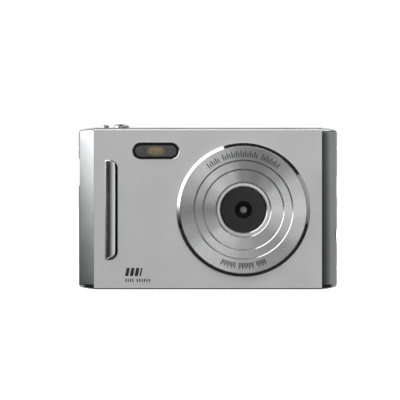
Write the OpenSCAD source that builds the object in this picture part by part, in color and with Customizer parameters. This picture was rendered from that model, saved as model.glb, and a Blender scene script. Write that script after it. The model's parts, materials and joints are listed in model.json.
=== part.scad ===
/* [Case] */
// Width over both end caps
body_w = 95; // [94:0.5:98]
// Height from the base to the top cover
body_h = 59.3; // [59:0.1:61]
// Depth of the case without the lens rings and the keys
body_d = 18; // [18:0.1:19]
// Width of each end cap, seen from the front
cap_w = 5.65; // [5.4:0.05:6]
// Radius of the long bend at each corner of an end cap
cap_bend_r = 16; // [14:0.5:20]
// Small rounding where that bend meets the end
cap_nose_r = 1.2; // [0.8:0.1:1.6]
// Thickness of the moulded case walls
wall = 1.4; // [1.2:0.1:1.5]
// Thickness of the metal front panel
panel_t = 0.8; // [0.6:0.1:0.9]
// Bevel along the top of the front panel
bevel_top = 0.7; // [0.3:0.1:0.7]
// Bevel along the bottom of the front panel
bevel_bottom = 0.44; // [0.2:0.02:0.5]

/* [Lens] */
// Lens axis, to the right of the middle
lens_x = 13; // [12:0.5:14]
// Height of the lens axis
lens_z = 29.2; // [28.5:0.1:30]
// Outer radius of the chrome ring
trim_r = 24.5; // [24:0.1:25]
// Outer radius of the outer turned ring
outer_r = 23.2; // [23:0.1:23.4]
// Middle radius of the step between the outer and the middle ring
middle_r = 18.1; // [17.5:0.1:18.5]
// Middle radius of the step between the middle and the inner ring
inner_r = 14.8; // [14:0.1:15.5]
// Middle radius of the step between the inner ring and the bezel
bezel_r = 10.05; // [9.5:0.05:10.5]
// Middle radius of the step between the bezel and the dark window
window_r = 8.6; // [8.2:0.1:8.9]
// Radius of the lens barrel
barrel_r = 3.05; // [2.9:0.05:3.2]
// Radius of the clear opening in the barrel
aperture_r = 1.36; // [1:0.02:1.6]
// How far the rings stand in front of the panel
lens_proud = 3.4; // [3.2:0.1:3.6]
// Drop from each ring to the next, and the width of its slope
ring_step = 0.45; // [0.3:0.05:0.5]

/* [Flash] */
// Middle of the flash, to the left of the middle
flash_x = -19.1; // [-20:0.1:-18.5]
// Height of the middle of the flash
flash_z = 50.8; // [50.4:0.1:51.2]
// Width of the flash over its border
flash_w = 16.84; // [16:0.02:17]
// Height of the flash over its border
flash_h = 5.74; // [5.4:0.02:5.8]
// Width of the black border
flash_border = 0.8; // [0.6:0.1:0.9]

/* [Grip] */
// Straight outer edge of the grip bar
grip_x = -37.9; // [-38.2:0.1:-37.5]
// Width of the grip bar
grip_w = 4.85; // [4.6:0.05:5]
// Lower end of the grip bar
grip_z = 10.8; // [10:0.1:12]
// Length of the grip bar
grip_len = 36.7; // [34:0.1:38]
// Height of its crest in front of the panel
grip_proud = 1.6; // [1.4:0.1:1.8]
// Radius of its two large corners
grip_corner_r = 4.3; // [3.8:0.1:4.5]

/* [Top buttons] */
// Middle of the shutter button
shutter_x = -31.9; // [-32:0.1:-31.5]
// Radius of the shutter button
shutter_r = 2.9; // [2.7:0.1:2.9]
// Height of the shutter button over the top cover
shutter_proud = 1.36; // [1.2:0.02:1.5]
// Travel of the shutter button
shutter_travel = 0.5; // [0.3:0.1:0.5]
// Middle of the power button
power_x = -37.7; // [-38:0.1:-37.7]
// Radius of the power button
power_r = 1.4; // [1.2:0.1:1.4]
// Height of the power button over the top cover
power_proud = 1.1; // [0.9:0.1:1.2]

/* [Display] */
// Middle of the display, to the right of the middle
display_x = 10.5; // [10.5:0.1:10.8]
// Height of the middle of the display
display_z = 29.5; // [29.2:0.1:29.8]
// Width of the display window
display_w = 59; // [58:0.5:59]
// Height of the display window
display_h = 46.6; // [46:0.1:47]
// Frame of the display that the case covers, on each side
display_lip = 2; // [1.5:0.1:2.5]

/* [Rear keys] */
// Middle of the column of keys
keys_x = -30.2; // [-30.4:0.1:-30]
// Half the distance between two keys in a row
key_pitch = 4.2; // [4.1:0.1:4.4]
// Height of the upper row of keys
upper_keys_z = 42; // [41.5:0.1:42.2]
// Height of the lower row of keys
lower_keys_z = 13; // [12.5:0.1:13.5]
// Radius of a round key
key_r = 2.8; // [2.6:0.1:2.8]
// Height of the middle of the navigation pad
pad_z = 27.5; // [27:0.1:28]
// Outer radius of the navigation pad
pad_r = 8; // [7.7:0.1:8]
// Inner radius of the navigation pad
pad_hole_r = 3.5; // [3.5:0.1:3.6]
// Height of the middle of the zoom rocker
zoom_z = 50.2; // [50:0.1:50.4]
// Length of the zoom rocker
zoom_len = 13.6; // [13:0.1:13.8]
// Width of the zoom rocker
zoom_w = 4.4; // [4.2:0.1:4.4]
// How far the pad and the rocker stand behind the case
key_proud = 0.6; // [0.5:0.1:0.8]

/* [Battery] */
// Width of the battery
battery_w = 31.5; // [30:0.5:31.5]
// Height of the battery
battery_h = 43; // [40:1:43]
// Thickness of the battery
battery_t = 5.5; // [5:0.1:5.5]
// Hinge line of the battery door
hinge_x = -3.4; // [-3.6:0.1:-3.2]
// Radius of the door pin
door_pin_r = 0.6; // [0.5:0.05:0.65]

/* [Connections] */
// Middle of the tripod socket
tripod_x = 13; // [10:0.5:20]
// Bore radius of the quarter inch tripod thread
tripod_r = 2.55; // [2.5:0.05:2.6]
// Depth of the tripod thread
tripod_depth = 5.6; // [5:0.1:5.8]
// Height of the middle of the card slot
card_z = 20; // [18:0.5:22]
// Height of the middle of the port
port_z = 38; // [36:0.5:40]
// Height of the middle of the strap bar
strap_z = 43; // [42:0.5:43]

/* [Hidden] */
$fn = 96;
// Overshoot of a cut past the face that it opens
cut = 1;
// Gap between pieces that lie side by side
gap = 0.05;

// Depths: -Y is the front
y_front = -(body_d + lens_proud + key_proud) / 2 + lens_proud;
y_rear = y_front + body_d;
y_mid = (y_front + y_rear) / 2;
y_shell = y_front + panel_t;
y_inside = y_shell + wall;
y_split = 4.6;
y_rear_inside = y_rear - wall;
// Heights and widths of the case
cover_t = 1.2;
z_cover = body_h - cover_t;
z_roof = z_cover - cover_t;
x_seam = body_w / 2 - cap_w;
x_shell = x_seam - gap;
// Plan radius of an end cap that meets the case at its front and rear faces
cap_r = (body_d * body_d / 4 + cap_w * cap_w) / (2 * cap_w);
cap_x = body_w / 2 - cap_r;
cap_wall = 1.2;
cap_floor = 2.6;
bend_steps = 6;
nose_steps = 5;
bevel_rear = 0.8;
// Screws of the end caps, their bosses in the caps and their posts in the case
screw_zs = [8, 52];
screw_r = 0.8;
screw_head_r = 1.4;
screw_head_t = 0.9;
screw_slot = [0.8, 0.4, 1.7];
screw_end_x = x_seam - 2.4;
screw_head_x = body_w / 2 - screw_head_t - 0.5;
boss_r = 2;
post_x = x_seam - 2.95;
post_r = 2.3;
post_rib = 2;
// Lens rings
y_lens = y_front - lens_proud;
y_base = y_lens + 5 * ring_step + 0.15;
ring_levels = [for (i = [0:4]) y_lens + i * ring_step];
slope = ring_step / 2;
mount_half = 5.5;
mount_wall = 2;
spigot_r = 5.1;
y_mount = y_inside + 0.4;
barrel_y = [y_base - 0.65, y_mount + 2];
barrel_lip = 0.5;
barrel_wall = 0.8;
lens_stop_y = y_base + 0.5;
element_r = barrel_r - barrel_wall - gap;
filter_y = y_mount + 2.4;
y_sensor_board = 0.8;
board_t = 0.8;
// Flash lamp
lamp_half_w = 2.5;
lamp_half_h = 1.25;
y_flash_board = y_inside + 0.9;
// Grip bar
grip_pin_r = 0.8;
grip_pin_in = 6;
grip_lip = 0.6;
grip_slope_w = 2.65;
grip_small_r = 0.8;
grip_bevel = 1.1;
// Top buttons and the holes for sound
shutter_dome = 0.85;
power_dome = 0.35;
button_clear = 0.15;
button_flange = 0.35;
flange_z = z_cover - 0.65;
z_switch_board = 53.2;
z_stem = 55.6;
sound_y = -1.4;
sound_r = 0.5;
speaker_hole_xs = [27, 29, 31, 33, 35];
microphone_x = -1.5;
// Display
display_r = 2;
display_t = 1;
display_panel_x = [display_x - display_w / 2 + 1, display_x + display_w / 2 - 1];
display_panel_y = [y_rear_inside - 2.8, y_rear_inside - 0.4];
display_panel_z = [display_z - display_h / 2 + 1.4, display_z + display_h / 2 - 1.4];
ribbon_x = [display_x - 12.5, display_x - 1.5];
// Rear keys
lamp_place = [-22.5, 55.2];
lamp_r = 0.7;
y_key_board = 6.2;
y_key_face = y_key_board + board_t;
dome_h = 0.35;
dome_r = 1.5;
key_stand = 0.4;
key_clear = 0.2;
key_flange = 0.5;
key_stem_r = 1;
y_key_stem = y_key_face + dome_h + 0.4;
nub_r = 0.6;
pad_dome_r = 6.6;
y_pad = 8.1;
pad_flange = 0.6;
seat_r = [3.8, 5];
seat_y = [7.55, 7.85];
seat_low_rib = [7.31, 0.29];
seat_high_rib = [7.93, 0.15];
y_zoom_pin = 8.1;
zoom_nub = 5.2;
zoom_clear = 0.35;
pin_clear = 0.05;
zoom_pin_r = 0.5;
lug_t = 0.8;
lug_gap = 0.3;
// Battery bay
battery_x0 = hinge_x - 1.6 - battery_w;
battery_y0 = y_inside + 0.8;
battery_z0 = 1.9;
holder_t = 0.7;
holder_gap = 0.1;
blade_x0 = 8;
blade_step = 4;
blade_w = 2;
hinge_z = 1.3;
hinge_boss_r = 1.7;
knuckle_r = 1.25;
door_t = 1.2;
door_x0 = battery_x0 - 1.9;
door_y0 = y_inside + 0.2;
door_y1 = 3.4;
door_gap = 0.15;
door_groove_r = 0.4;
// Main board
y_board = 2.6;
main_t = 1;
plug_t = 0.35;
// Card, port and strap
card_w = 11;
card_t = 1;
card_len = 15;
card_y0 = 0.1;
card_x1 = body_w / 2 - 0.4;
port_w = 8.94;
port_h = 3.26;
port_len = 7.35;
port_y = 0.9;
port_x1 = body_w / 2 - 0.3;
port_wall = 0.3;
strap_len = 10;
strap_d = 5.6;
strap_r = 0.9;
strap_end = 1.2;
strap_x = -(body_w / 2 - 1.5);
strap_floor_x = -(body_w / 2 - 3.9);
tripod_y = -0.4;
insert_r = 3.9;
insert_h = 6.4;
insert_wall = 1.1;

// A box from its lowest to its highest corner
module block(x, y, z) {
    translate([x[0], y[0], z[0]]) cube([x[1] - x[0], y[1] - y[0], z[1] - z[0]]);
}

// An outline in X and Z, extruded along Y
module along_y(y) {
    translate([0, y[1], 0]) rotate([90, 0, 0]) linear_extrude(y[1] - y[0]) children();
}

// An outline in Y and Z, extruded along X
module along_x(x) {
    translate([x[0], 0, 0]) rotate([90, 0, 90]) linear_extrude(x[1] - x[0]) children();
}

// A round bar along Y at a place in X and Z
module rod_y(x, z, r, y) {
    translate([x, y[1], z]) rotate([90, 0, 0]) cylinder(h = y[1] - y[0], r = r);
}

// A round bar along X at a place in Y and Z
module rod_x(y, z, r, x) {
    translate([x[0], y, z]) rotate([0, 90, 0]) cylinder(h = x[1] - x[0], r = r);
}

// A round bar along Z at a place in X and Y
module rod_z(x, y, r, z) {
    translate([x, y, z[0]]) cylinder(h = z[1] - z[0], r = r);
}

// An outline with two half-round ends, centred
module stadium(w, h) {
    square([w - h, h], center = true);
    for (side = [-1, 1]) translate([side * (w - h) / 2, 0]) circle(r = h / 2);
}

// A rectangle with round corners, centred
module soft_square(w, h, r) {
    square([w - 2 * r, h], center = true);
    square([w, h - 2 * r], center = true);
    for (a = [-1, 1], b = [-1, 1]) translate([a * (w / 2 - r), b * (h / 2 - r)]) circle(r = r);
}

// A piece turned about the lens axis; each point is [radius, depth in Y]
module turned(points) {
    translate([lens_x, 0, lens_z]) rotate([90, 0, 0])
        rotate_extrude() polygon([for (p = points) [p[0], -p[1]]]);
}

// What lies between the two end caps, from one depth and height to another
module centre_case(y, z) {
    intersection() {
        along_x([-x_shell, x_shell]) polygon([
            [y_front + bevel_bottom, 0], [y_rear - bevel_rear, 0],
            [y_rear, bevel_rear], [y_rear, body_h - bevel_rear],
            [y_rear - bevel_rear, body_h], [y_front + bevel_top, body_h],
            [y_front, body_h - bevel_top], [y_front, bevel_bottom]]);
        block([-x_shell, x_shell], y, z);
    }
}

// A stadium around the middle of the flash, from one depth to another
module flash_form(w, h, y) {
    translate([flash_x, 0, flash_z]) along_y(y) stadium(w, h);
}

module front_panel() {
    color("silver") difference() {
        centre_case([y_front, y_shell], [0, body_h]);
        rod_y(lens_x, lens_z, trim_r + gap, [y_front - cut, y_shell + cut]);
        flash_form(flash_w + 2 * gap, flash_h + 2 * gap, [y_front - cut, y_shell + cut]);
        grip_pins(grip_pin_r + gap, [y_front - cut, y_shell + cut]);
    }
}

// The places in X and Z of the post, screw and rib at each end of the case
module end_posts() {
    for (side = [-1, 1], z = screw_zs) {
        x = side > 0 ? [post_x, x_shell] : [-x_shell, -post_x];
        rib = z < body_h / 2 ? [wall / 2, z] : [z, z_roof + cover_t / 2];
        rod_x(y_mid, z, post_r, x);
        block(x, [y_mid - post_rib / 2, y_mid + post_rib / 2], rib);
    }
}

module end_screw_cuts(r) {
    for (side = [-1, 1], z = screw_zs) rod_x(y_mid, z, r,
        side > 0 ? [post_x - cut, x_seam + cut] : [-x_seam - cut, -post_x + cut]);
}

// Holes of the speaker and the microphone through the top of the case
module sound_holes(z) {
    for (x = concat(speaker_hole_xs, microphone_x)) rod_z(x, sound_y, sound_r, z);
}

// Wells for the flanges of the two top buttons
module button_wells(z) {
    rod_z(shutter_x, y_mid, shutter_r + button_flange + button_clear, z);
    rod_z(power_x, y_mid, power_r + button_flange + button_clear, z);
}

module door_opening() {
    y = [door_y0 - door_gap, door_y1 + door_gap];
    // Past the hinge line too, where the lower edge of the flap turns
    block([door_x0 - door_gap, hinge_x + hinge_z + door_gap], y, [-cut, wall + gap]);
    rod_y(hinge_x, hinge_z, knuckle_r + door_gap, y);
}

module front_shell() {
    color("dimgray") difference() {
        union() {
            difference() {
                centre_case([y_shell, y_split], [0, z_cover]);
                block([-x_seam, x_seam], [y_inside, y_split + cut], [wall, z_roof]);
            }
            intersection() {
                union() {
                    end_posts();
                    rod_z(tripod_x, tripod_y, insert_r + insert_wall, [wall / 2, insert_h - 0.2]);
                    rod_y(hinge_x, hinge_z, hinge_boss_r, [y_shell + wall / 2, door_y0 - door_gap]);
                    rod_y(hinge_x, hinge_z, hinge_boss_r, [door_y1 + door_gap, y_split]);
                }
                block([-x_shell, x_shell], [y_shell, y_split], [0, z_cover]);
            }
        }
        rod_y(lens_x, lens_z, spigot_r + gap, [y_shell - cut, y_inside + cut]);
        flash_form(flash_w - 1.4, flash_h - 1.4, [y_shell - cut, y_inside + cut]);
        grip_pins(grip_pin_r + gap, [y_shell - cut, y_inside + cut]);
        end_screw_cuts(screw_r);
        rod_z(tripod_x, tripod_y, insert_r, [-cut, insert_h + cut]);
        door_opening();
        rod_y(hinge_x, hinge_z, door_pin_r, [y_shell + 0.4, y_split - 0.3]);
        button_wells([z_roof - cut, z_cover + cut]);
        sound_holes([z_roof - cut, z_cover + cut]);
    }
}

// Place in X and Z of a round key: 0 is play, 1 mode, 2 menu and 3 delete
function key_place(i) = [keys_x + (i % 2 == 0 ? -key_pitch : key_pitch),
    i < 2 ? upper_keys_z : lower_keys_z];

module key_holes(y) {
    for (i = [0:3]) rod_y(key_place(i)[0], key_place(i)[1], key_r + key_clear, y);
    rod_y(keys_x, pad_z, pad_r + key_clear, y);
    translate([keys_x, 0, zoom_z]) along_y(y) stadium(zoom_len + 2 * zoom_clear, zoom_w + 2 * key_clear);
    rod_y(lamp_place[0], lamp_place[1], lamp_r, y);
}

module rear_shell() {
    color("dimgray") {
        difference() {
            centre_case([y_split, y_rear], [0, z_cover]);
            block([-x_seam, x_seam], [y_split - cut, y_rear_inside], [wall, z_roof]);
            key_holes([y_rear_inside - cut, y_rear + cut]);
            button_wells([z_roof - cut, z_cover + cut]);
            translate([display_x, 0, display_z]) {
                along_y([y_rear - display_t, y_rear + cut])
                    soft_square(display_w + 2 * gap, display_h + 2 * gap, display_r);
                along_y([y_rear_inside - cut, y_rear])
                    square([display_w - 2 * display_lip, display_h - 2 * display_lip], center = true);
            }
        }
        // Lugs of the zoom pin
        for (side = [-1, 1]) difference() {
            z = zoom_z + side * (zoom_w / 2 + lug_gap + lug_t / 2);
            block([keys_x - 1.1, keys_x + 1.1], [y_zoom_pin - 0.9, y_rear_inside],
                [z - lug_t / 2, z + lug_t / 2]);
            rod_z(keys_x, y_zoom_pin, zoom_pin_r, [z - cut, z + cut]);
        }
        // Posts that hold the key board
        for (x = [keys_x - 9.4, keys_x + 9.4], z = [9.2, 37.5])
            rod_y(x, z, 0.6, [y_key_face, y_rear_inside]);
    }
}

module top_cover() {
    color("gray") difference() {
        centre_case([y_shell, y_rear], [z_cover, body_h]);
        rod_z(shutter_x, y_mid, shutter_r + button_clear, [z_cover - cut, body_h + cut]);
        rod_z(power_x, y_mid, power_r + button_clear, [z_cover - cut, body_h + cut]);
        sound_holes([z_cover - cut, body_h + cut]);
    }
}

// Half of an end cap's profile about its own upright axis, as [radius, height] from the base:
// flat, then a long bend, then a small nose
function cap_half_profile() =
    let (flat_r = x_seam - cap_x,
        reach = cap_r - cap_nose_r - flat_r,
        hub_r = cap_bend_r - cap_nose_r,
        turn = asin(reach / hub_r),
        nose_z = cap_bend_r - hub_r * cos(turn))
    concat([[0, 0]],
        [for (i = [0:bend_steps]) let (a = turn * i / bend_steps)
            [flat_r + cap_bend_r * sin(a), cap_bend_r * (1 - cos(a))]],
        [for (i = [1:nose_steps]) let (a = turn + (90 - turn) * i / nose_steps)
            [cap_r - cap_nose_r + cap_nose_r * sin(a), nose_z - cap_nose_r * cos(a)]]);

// The full outside of the right end cap
module cap_solid() {
    low = cap_half_profile();
    high = [for (i = [len(low) - 1:-1:0]) [low[i][0], body_h - low[i][1]]];
    intersection() {
        translate([cap_x, y_mid, 0]) rotate_extrude($fn = 192) polygon(concat(low, high));
        block([x_seam, body_w], [-body_d, body_d], [-cut, body_h + cut]);
    }
}

// The right end cap as a hollow cup with its screw bosses
module cap_cup() {
    difference() {
        union() {
            difference() {
                cap_solid();
                intersection() {
                    rod_z(cap_x, y_mid, cap_r - cap_wall, [cap_floor, body_h - cap_floor]);
                    block([x_seam - cut, body_w], [-body_d, body_d], [0, body_h]);
                }
            }
            for (z = screw_zs) rod_x(y_mid, z, boss_r, [x_seam, body_w / 2 - cap_wall / 2]);
        }
        for (z = screw_zs) {
            rod_x(y_mid, z, screw_r, [x_seam - cut, body_w / 2]);
            rod_x(y_mid, z, screw_head_r, [screw_head_x, body_w / 2 + cut]);
        }
    }
}

// The right cup turned over, with a walled recess for the strap
module end_cap_left() {
    y = [y_mid - strap_d / 2, y_mid + strap_d / 2];
    z = [strap_z - strap_len / 2, strap_z + strap_len / 2];
    color("lightsteelblue") difference() {
        union() {
            mirror([1, 0, 0]) cap_cup();
            intersection() {
                mirror([1, 0, 0]) cap_solid();
                block([-body_w, strap_floor_x + cap_wall], y + [-cap_wall, cap_wall],
                    z + [-strap_end - 0.4, strap_end + 0.4]);
            }
        }
        block([-body_w / 2 - cut, strap_floor_x], y, z);
        rod_z(strap_x, y_mid, strap_r, z + [-strap_end, strap_end]);
    }
}

module end_cap_right() {
    card_y = card_y0 + card_t / 2;
    card_clear = 0.6;
    port_clear = 0.4;
    notch_r = 3.4;
    color("lightsteelblue") difference() {
        cap_cup();
        along_x([x_seam - cut, body_w / 2 + cut]) {
            translate([card_y, card_z]) square([card_t + card_clear, card_w + card_clear], center = true);
            translate([port_y, port_z]) rotate(90) stadium(port_w + port_clear, port_h + port_clear);
        }
        // Nail notch beside the card
        translate([body_w / 2 + 1.2, card_y, card_z]) sphere(r = notch_r);
    }
}

module case_screws() {
    color("black") for (side = [0, 1], z = screw_zs) mirror([side, 0, 0]) difference() {
        union() {
            rod_x(y_mid, z, screw_r, [screw_end_x, screw_head_x]);
            rod_x(y_mid, z, screw_head_r - gap, [screw_head_x, screw_head_x + screw_head_t]);
        }
        for (turn = [0, 90]) translate([screw_head_x + screw_head_t, y_mid, z]) rotate([turn, 0, 0])
            cube(screw_slot, center = true);
    }
}

module lens_housing() {
    color("dimgray") turned([[barrel_r + gap, y_base], [outer_r - gap, y_base], [outer_r - gap, y_shell],
        [spigot_r, y_shell], [spigot_r, y_inside], [barrel_r + gap, y_inside]]);
}

module lens_trim_ring() {
    rim = 1.55;
    color("gainsboro") turned([[outer_r, y_shell], [trim_r, y_shell], [trim_r, y_lens + rim],
        [outer_r + 0.08, y_lens + 0.1], [outer_r, y_lens + 0.1]]);
}

// One ring of the stepped face, from its outer edge in to the slope at its inner edge
module stepped_ring(outer, inner, level) {
    turned([[outer, y_base], [outer, ring_levels[level]], [inner + slope, ring_levels[level]],
        [inner - slope, ring_levels[level + 1]], [inner - slope, y_base]]);
}

module lens_outer_ring() {
    color("silver") stepped_ring(outer_r - gap, middle_r, 0);
}

module lens_middle_ring() {
    color("silver") stepped_ring(middle_r - slope - gap, inner_r, 1);
}

module lens_inner_ring() {
    color("silver") stepped_ring(inner_r - slope - gap, bezel_r, 2);
}

module lens_bezel() {
    color("gainsboro") stepped_ring(bezel_r - slope - gap, window_r, 3);
}

module lens_window() {
    color("black") turned([[barrel_r + gap, y_base], [window_r - slope - gap, y_base],
        [window_r - slope - gap, ring_levels[4]], [barrel_r + gap, ring_levels[4]]]);
}

module lens_barrel() {
    color("black") turned([[aperture_r, lens_stop_y - 0.3], [barrel_r - barrel_lip, barrel_y[0]],
        [barrel_r, barrel_y[0]], [barrel_r, barrel_y[1]], [barrel_r - barrel_wall, barrel_y[1]],
        [barrel_r - barrel_wall, lens_stop_y], [aperture_r, lens_stop_y]]);
}

// A glass element: a disc with both faces domed
module lens_element(y, dome_r) {
    intersection() {
        rod_y(lens_x, lens_z, element_r, y);
        translate([lens_x, y[0] + dome_r, lens_z]) sphere(r = dome_r);
        translate([lens_x, y[1] - dome_r, lens_z]) sphere(r = dome_r);
    }
}

module lens_front_element() {
    color("lightcyan") lens_element([lens_stop_y + gap, lens_stop_y + 1.5], 4);
}

module lens_rear_element() {
    color("lightcyan") lens_element([lens_stop_y + 2, lens_stop_y + 3.6], 5);
}

module lens_mount() {
    x = [lens_x - mount_half, lens_x + mount_half];
    z = [lens_z - mount_half, lens_z + mount_half];
    color("black") difference() {
        block(x, [y_mount, y_sensor_board], z);
        rod_y(lens_x, lens_z, barrel_r + 0.02, [y_mount - cut, filter_y + cut]);
        block(x + [mount_wall, -mount_wall], [filter_y, y_sensor_board + cut], z + [mount_wall, -mount_wall]);
    }
}

module infrared_filter() {
    half = mount_half - mount_wall - gap;
    color("lightblue") block([lens_x - half, lens_x + half], [filter_y + gap, filter_y + 0.55],
        [lens_z - half, lens_z + half]);
}

module image_sensor() {
    half_w = 2.8;
    half_h = 2.2;
    color("darkslategray") block([lens_x - half_w, lens_x + half_w], [y_sensor_board - 0.9, y_sensor_board],
        [lens_z - half_h, lens_z + half_h]);
}

// The sensor's board and the plug that joins it to the main board
module sensor_board() {
    half = 6.2;
    plug_half = 4;
    color("darkgreen") {
        block([lens_x - half, lens_x + half], [y_sensor_board, y_sensor_board + board_t],
            [lens_z - half, lens_z + half]);
        block([lens_x - plug_half, lens_x + plug_half], [y_sensor_board + board_t, y_board],
            [lens_z - half + 0.6, lens_z - half + 2.6]);
    }
}

module flash_bezel() {
    color("black") difference() {
        flash_form(flash_w, flash_h, [y_front - 0.35, y_shell]);
        flash_form(flash_w - 2 * flash_border, flash_h - 2 * flash_border, [y_front - cut, y_shell + cut]);
    }
}

module flash_window() {
    inset = 2 * (flash_border + gap);
    color("lightgray") flash_form(flash_w - inset, flash_h - inset, [y_front - 0.15, y_front + 0.45]);
}

module flash_reflector() {
    y = [y_front + 0.5, y_inside + 0.8];
    half = flash_w / 2 - 1.5;
    back = 3.4;
    trough = 3;
    color("gainsboro") translate([flash_x, 0, flash_z]) difference() {
        along_y(y) stadium(flash_w - 1.8, flash_h - 1.8);
        translate([0, 0, -trough / 2]) linear_extrude(trough) polygon([[-half, y[0] - cut],
            [half, y[0] - cut], [half, y[0]], [back, y[1] - 0.5], [-back, y[1] - 0.5], [-half, y[0]]]);
        block([-lamp_half_w - 0.1, lamp_half_w + 0.1], [y[1] - cut, y[1] + cut],
            [-lamp_half_h - 0.1, lamp_half_h + 0.1]);
    }
}

module flash_lamp() {
    color("khaki") block([flash_x - lamp_half_w, flash_x + lamp_half_w], [y_inside + 0.2, y_flash_board],
        [flash_z - lamp_half_h, flash_z + lamp_half_h]);
}

module flash_board() {
    half = 7.4;
    color("darkgreen") block([flash_x - half, flash_x + half], [y_flash_board, y_flash_board + board_t],
        [flash_z - 2.8, flash_z + 2.2]);
}

// The two pins that hold the grip bar
module grip_pins(r, y) {
    for (z = [grip_z + grip_pin_in, grip_z + grip_len - grip_pin_in]) rod_y(grip_x + 2.6, z, r, y);
}

// A bar with a long slope on its outer side, a flat crest and a steep inner side
module grip_bar() {
    y_crest = y_front - grip_proud;
    color("lightgray") {
        intersection() {
            translate([0, 0, grip_z]) linear_extrude(grip_len) polygon([[grip_x, y_front],
                [grip_x, y_front - grip_lip], [grip_x + grip_slope_w, y_crest],
                [grip_x + grip_w - grip_bevel, y_crest], [grip_x + grip_w, y_front - 0.2],
                [grip_x + grip_w, y_front]]);
            along_y([y_crest, y_front]) grip_outline();
        }
        grip_pins(grip_pin_r, [y_front - 0.1, y_inside - 0.3]);
    }
}

// Straight on its outer side, with a large corner at each end of its inner side
module grip_outline() {
    small = grip_small_r;
    x1 = grip_x + grip_w;
    z1 = grip_z + grip_len;
    translate([grip_x + small, grip_z]) square([grip_w - grip_corner_r - small, grip_len]);
    translate([grip_x, grip_z + small]) square([small, grip_len - 2 * small]);
    translate([x1 - grip_corner_r, grip_z + grip_corner_r])
        square([grip_corner_r, grip_len - 2 * grip_corner_r]);
    for (z = [grip_z + small, z1 - small]) translate([grip_x + small, z]) circle(r = small);
    intersection() {
        for (z = [grip_z + grip_corner_r, z1 - grip_corner_r])
            translate([x1 - grip_corner_r, z]) circle(r = grip_corner_r);
        translate([x1 - grip_corner_r, grip_z]) square([grip_corner_r, grip_len]);
    }
}

// A top button: a domed cap, a flange under the cover and a stem
module top_button(x, r, proud, dome) {
    dome_sphere = (r * r + dome * dome) / (2 * dome);
    intersection() {
        rod_z(x, y_mid, r, [flange_z, body_h + proud]);
        translate([x, y_mid, body_h + proud - dome_sphere]) sphere(r = dome_sphere, $fn = 128);
    }
    rod_z(x, y_mid, r + button_flange, [flange_z, z_cover - gap]);
    rod_z(x, y_mid, 0.42 * r, [z_stem, flange_z + 0.2]);
}

module shutter_button() {
    color("gainsboro") top_button(shutter_x, shutter_r, shutter_proud, shutter_dome);
}

module power_button() {
    color("gainsboro") top_button(power_x, power_r, power_proud, power_dome);
}

// A push switch with its plunger, on the button board
module push_switch(x, half) {
    z = z_switch_board + board_t;
    block([x - half, x + half], [y_mid - half, y_mid + half], [z, z + 0.7]);
    rod_z(x, y_mid, 0.45 * half, [z + 0.6, z_stem - shutter_travel - gap]);
}

module shutter_switch() {
    color("dimgray") push_switch(shutter_x, 2);
}

module power_switch() {
    color("dimgray") push_switch(power_x, 1.1);
}

module button_board() {
    color("darkgreen") block([-post_x + 0.1, shutter_x + 4.7], [y_mid - 5, y_mid + 3.8],
        [z_switch_board, z_switch_board + board_t]);
}

module display_window() {
    color("black") translate([display_x, 0, display_z]) along_y([y_rear - display_t, y_rear])
        soft_square(display_w, display_h, display_r);
}

module display_panel() {
    color("slategray") block(display_panel_x, display_panel_y, display_panel_z);
}

// A shallow metal tray behind the display, notched for the ribbon
module display_frame() {
    rim = 0.35;
    play = gap / 2;
    color("silver") difference() {
        block(display_panel_x + [-rim, rim], [display_panel_y[0] - 0.5, display_panel_y[1] - 0.2],
            display_panel_z + [-rim, rim]);
        block(display_panel_x + [-play, play], [display_panel_y[0], y_rear], display_panel_z + [-play, play]);
        block(ribbon_x + [-1.5, 1.5], [display_panel_y[0], y_rear],
            [display_panel_z[0] - 2, display_panel_z[0] + 1]);
    }
}

// A flat cable that folds under the display and back up to its plug on the main board
module display_ribbon() {
    t = 0.2;
    low = 4.4;
    high = 12;
    inner_y = y_board + main_t + plug_t;
    outer_y = display_panel_y[0] + 0.7;
    color("chocolate") {
        block(ribbon_x, [outer_y, outer_y + t], [low, display_panel_z[0]]);
        block(ribbon_x, [inner_y, outer_y + t], [low - t, low]);
        block(ribbon_x, [inner_y, inner_y + t], [low - t, high]);
    }
}

module zoom_rocker() {
    color("dimgray") difference() {
        union() {
            translate([keys_x, 0, zoom_z]) along_y([y_zoom_pin + 0.1, y_rear + key_proud])
                stadium(zoom_len, zoom_w);
            rod_z(keys_x, y_zoom_pin, 2 * zoom_pin_r, [zoom_z - zoom_w / 2, zoom_z + zoom_w / 2]);
            for (x = [keys_x - zoom_nub, keys_x + zoom_nub])
                rod_y(x, zoom_z, nub_r, [y_zoom_pin - 0.3, y_zoom_pin + 0.5]);
        }
        rod_z(keys_x, y_zoom_pin, zoom_pin_r + pin_clear, [zoom_z - zoom_w, zoom_z + zoom_w]);
    }
}

module zoom_pin() {
    half = zoom_w / 2 + lug_gap + lug_t;
    color("gainsboro") rod_z(keys_x, y_zoom_pin, zoom_pin_r, [zoom_z - half, zoom_z + half]);
}

// A round key: a cap, a flange inside the case and a stem over its dome
module round_key(i) {
    place = key_place(i);
    rod_y(place[0], place[1], key_r, [y_rear_inside - 0.6, y_rear + key_stand]);
    rod_y(place[0], place[1], key_r + key_flange, [y_rear_inside - 0.65, y_rear_inside - gap]);
    rod_y(place[0], place[1], key_stem_r, [y_key_stem, y_rear_inside - 0.6]);
}

module play_button() {
    color("gray") round_key(0);
}

module mode_button() {
    color("gray") round_key(1);
}

module menu_button() {
    color("gray") round_key(2);
}

module delete_button() {
    color("gray") round_key(3);
}

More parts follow.
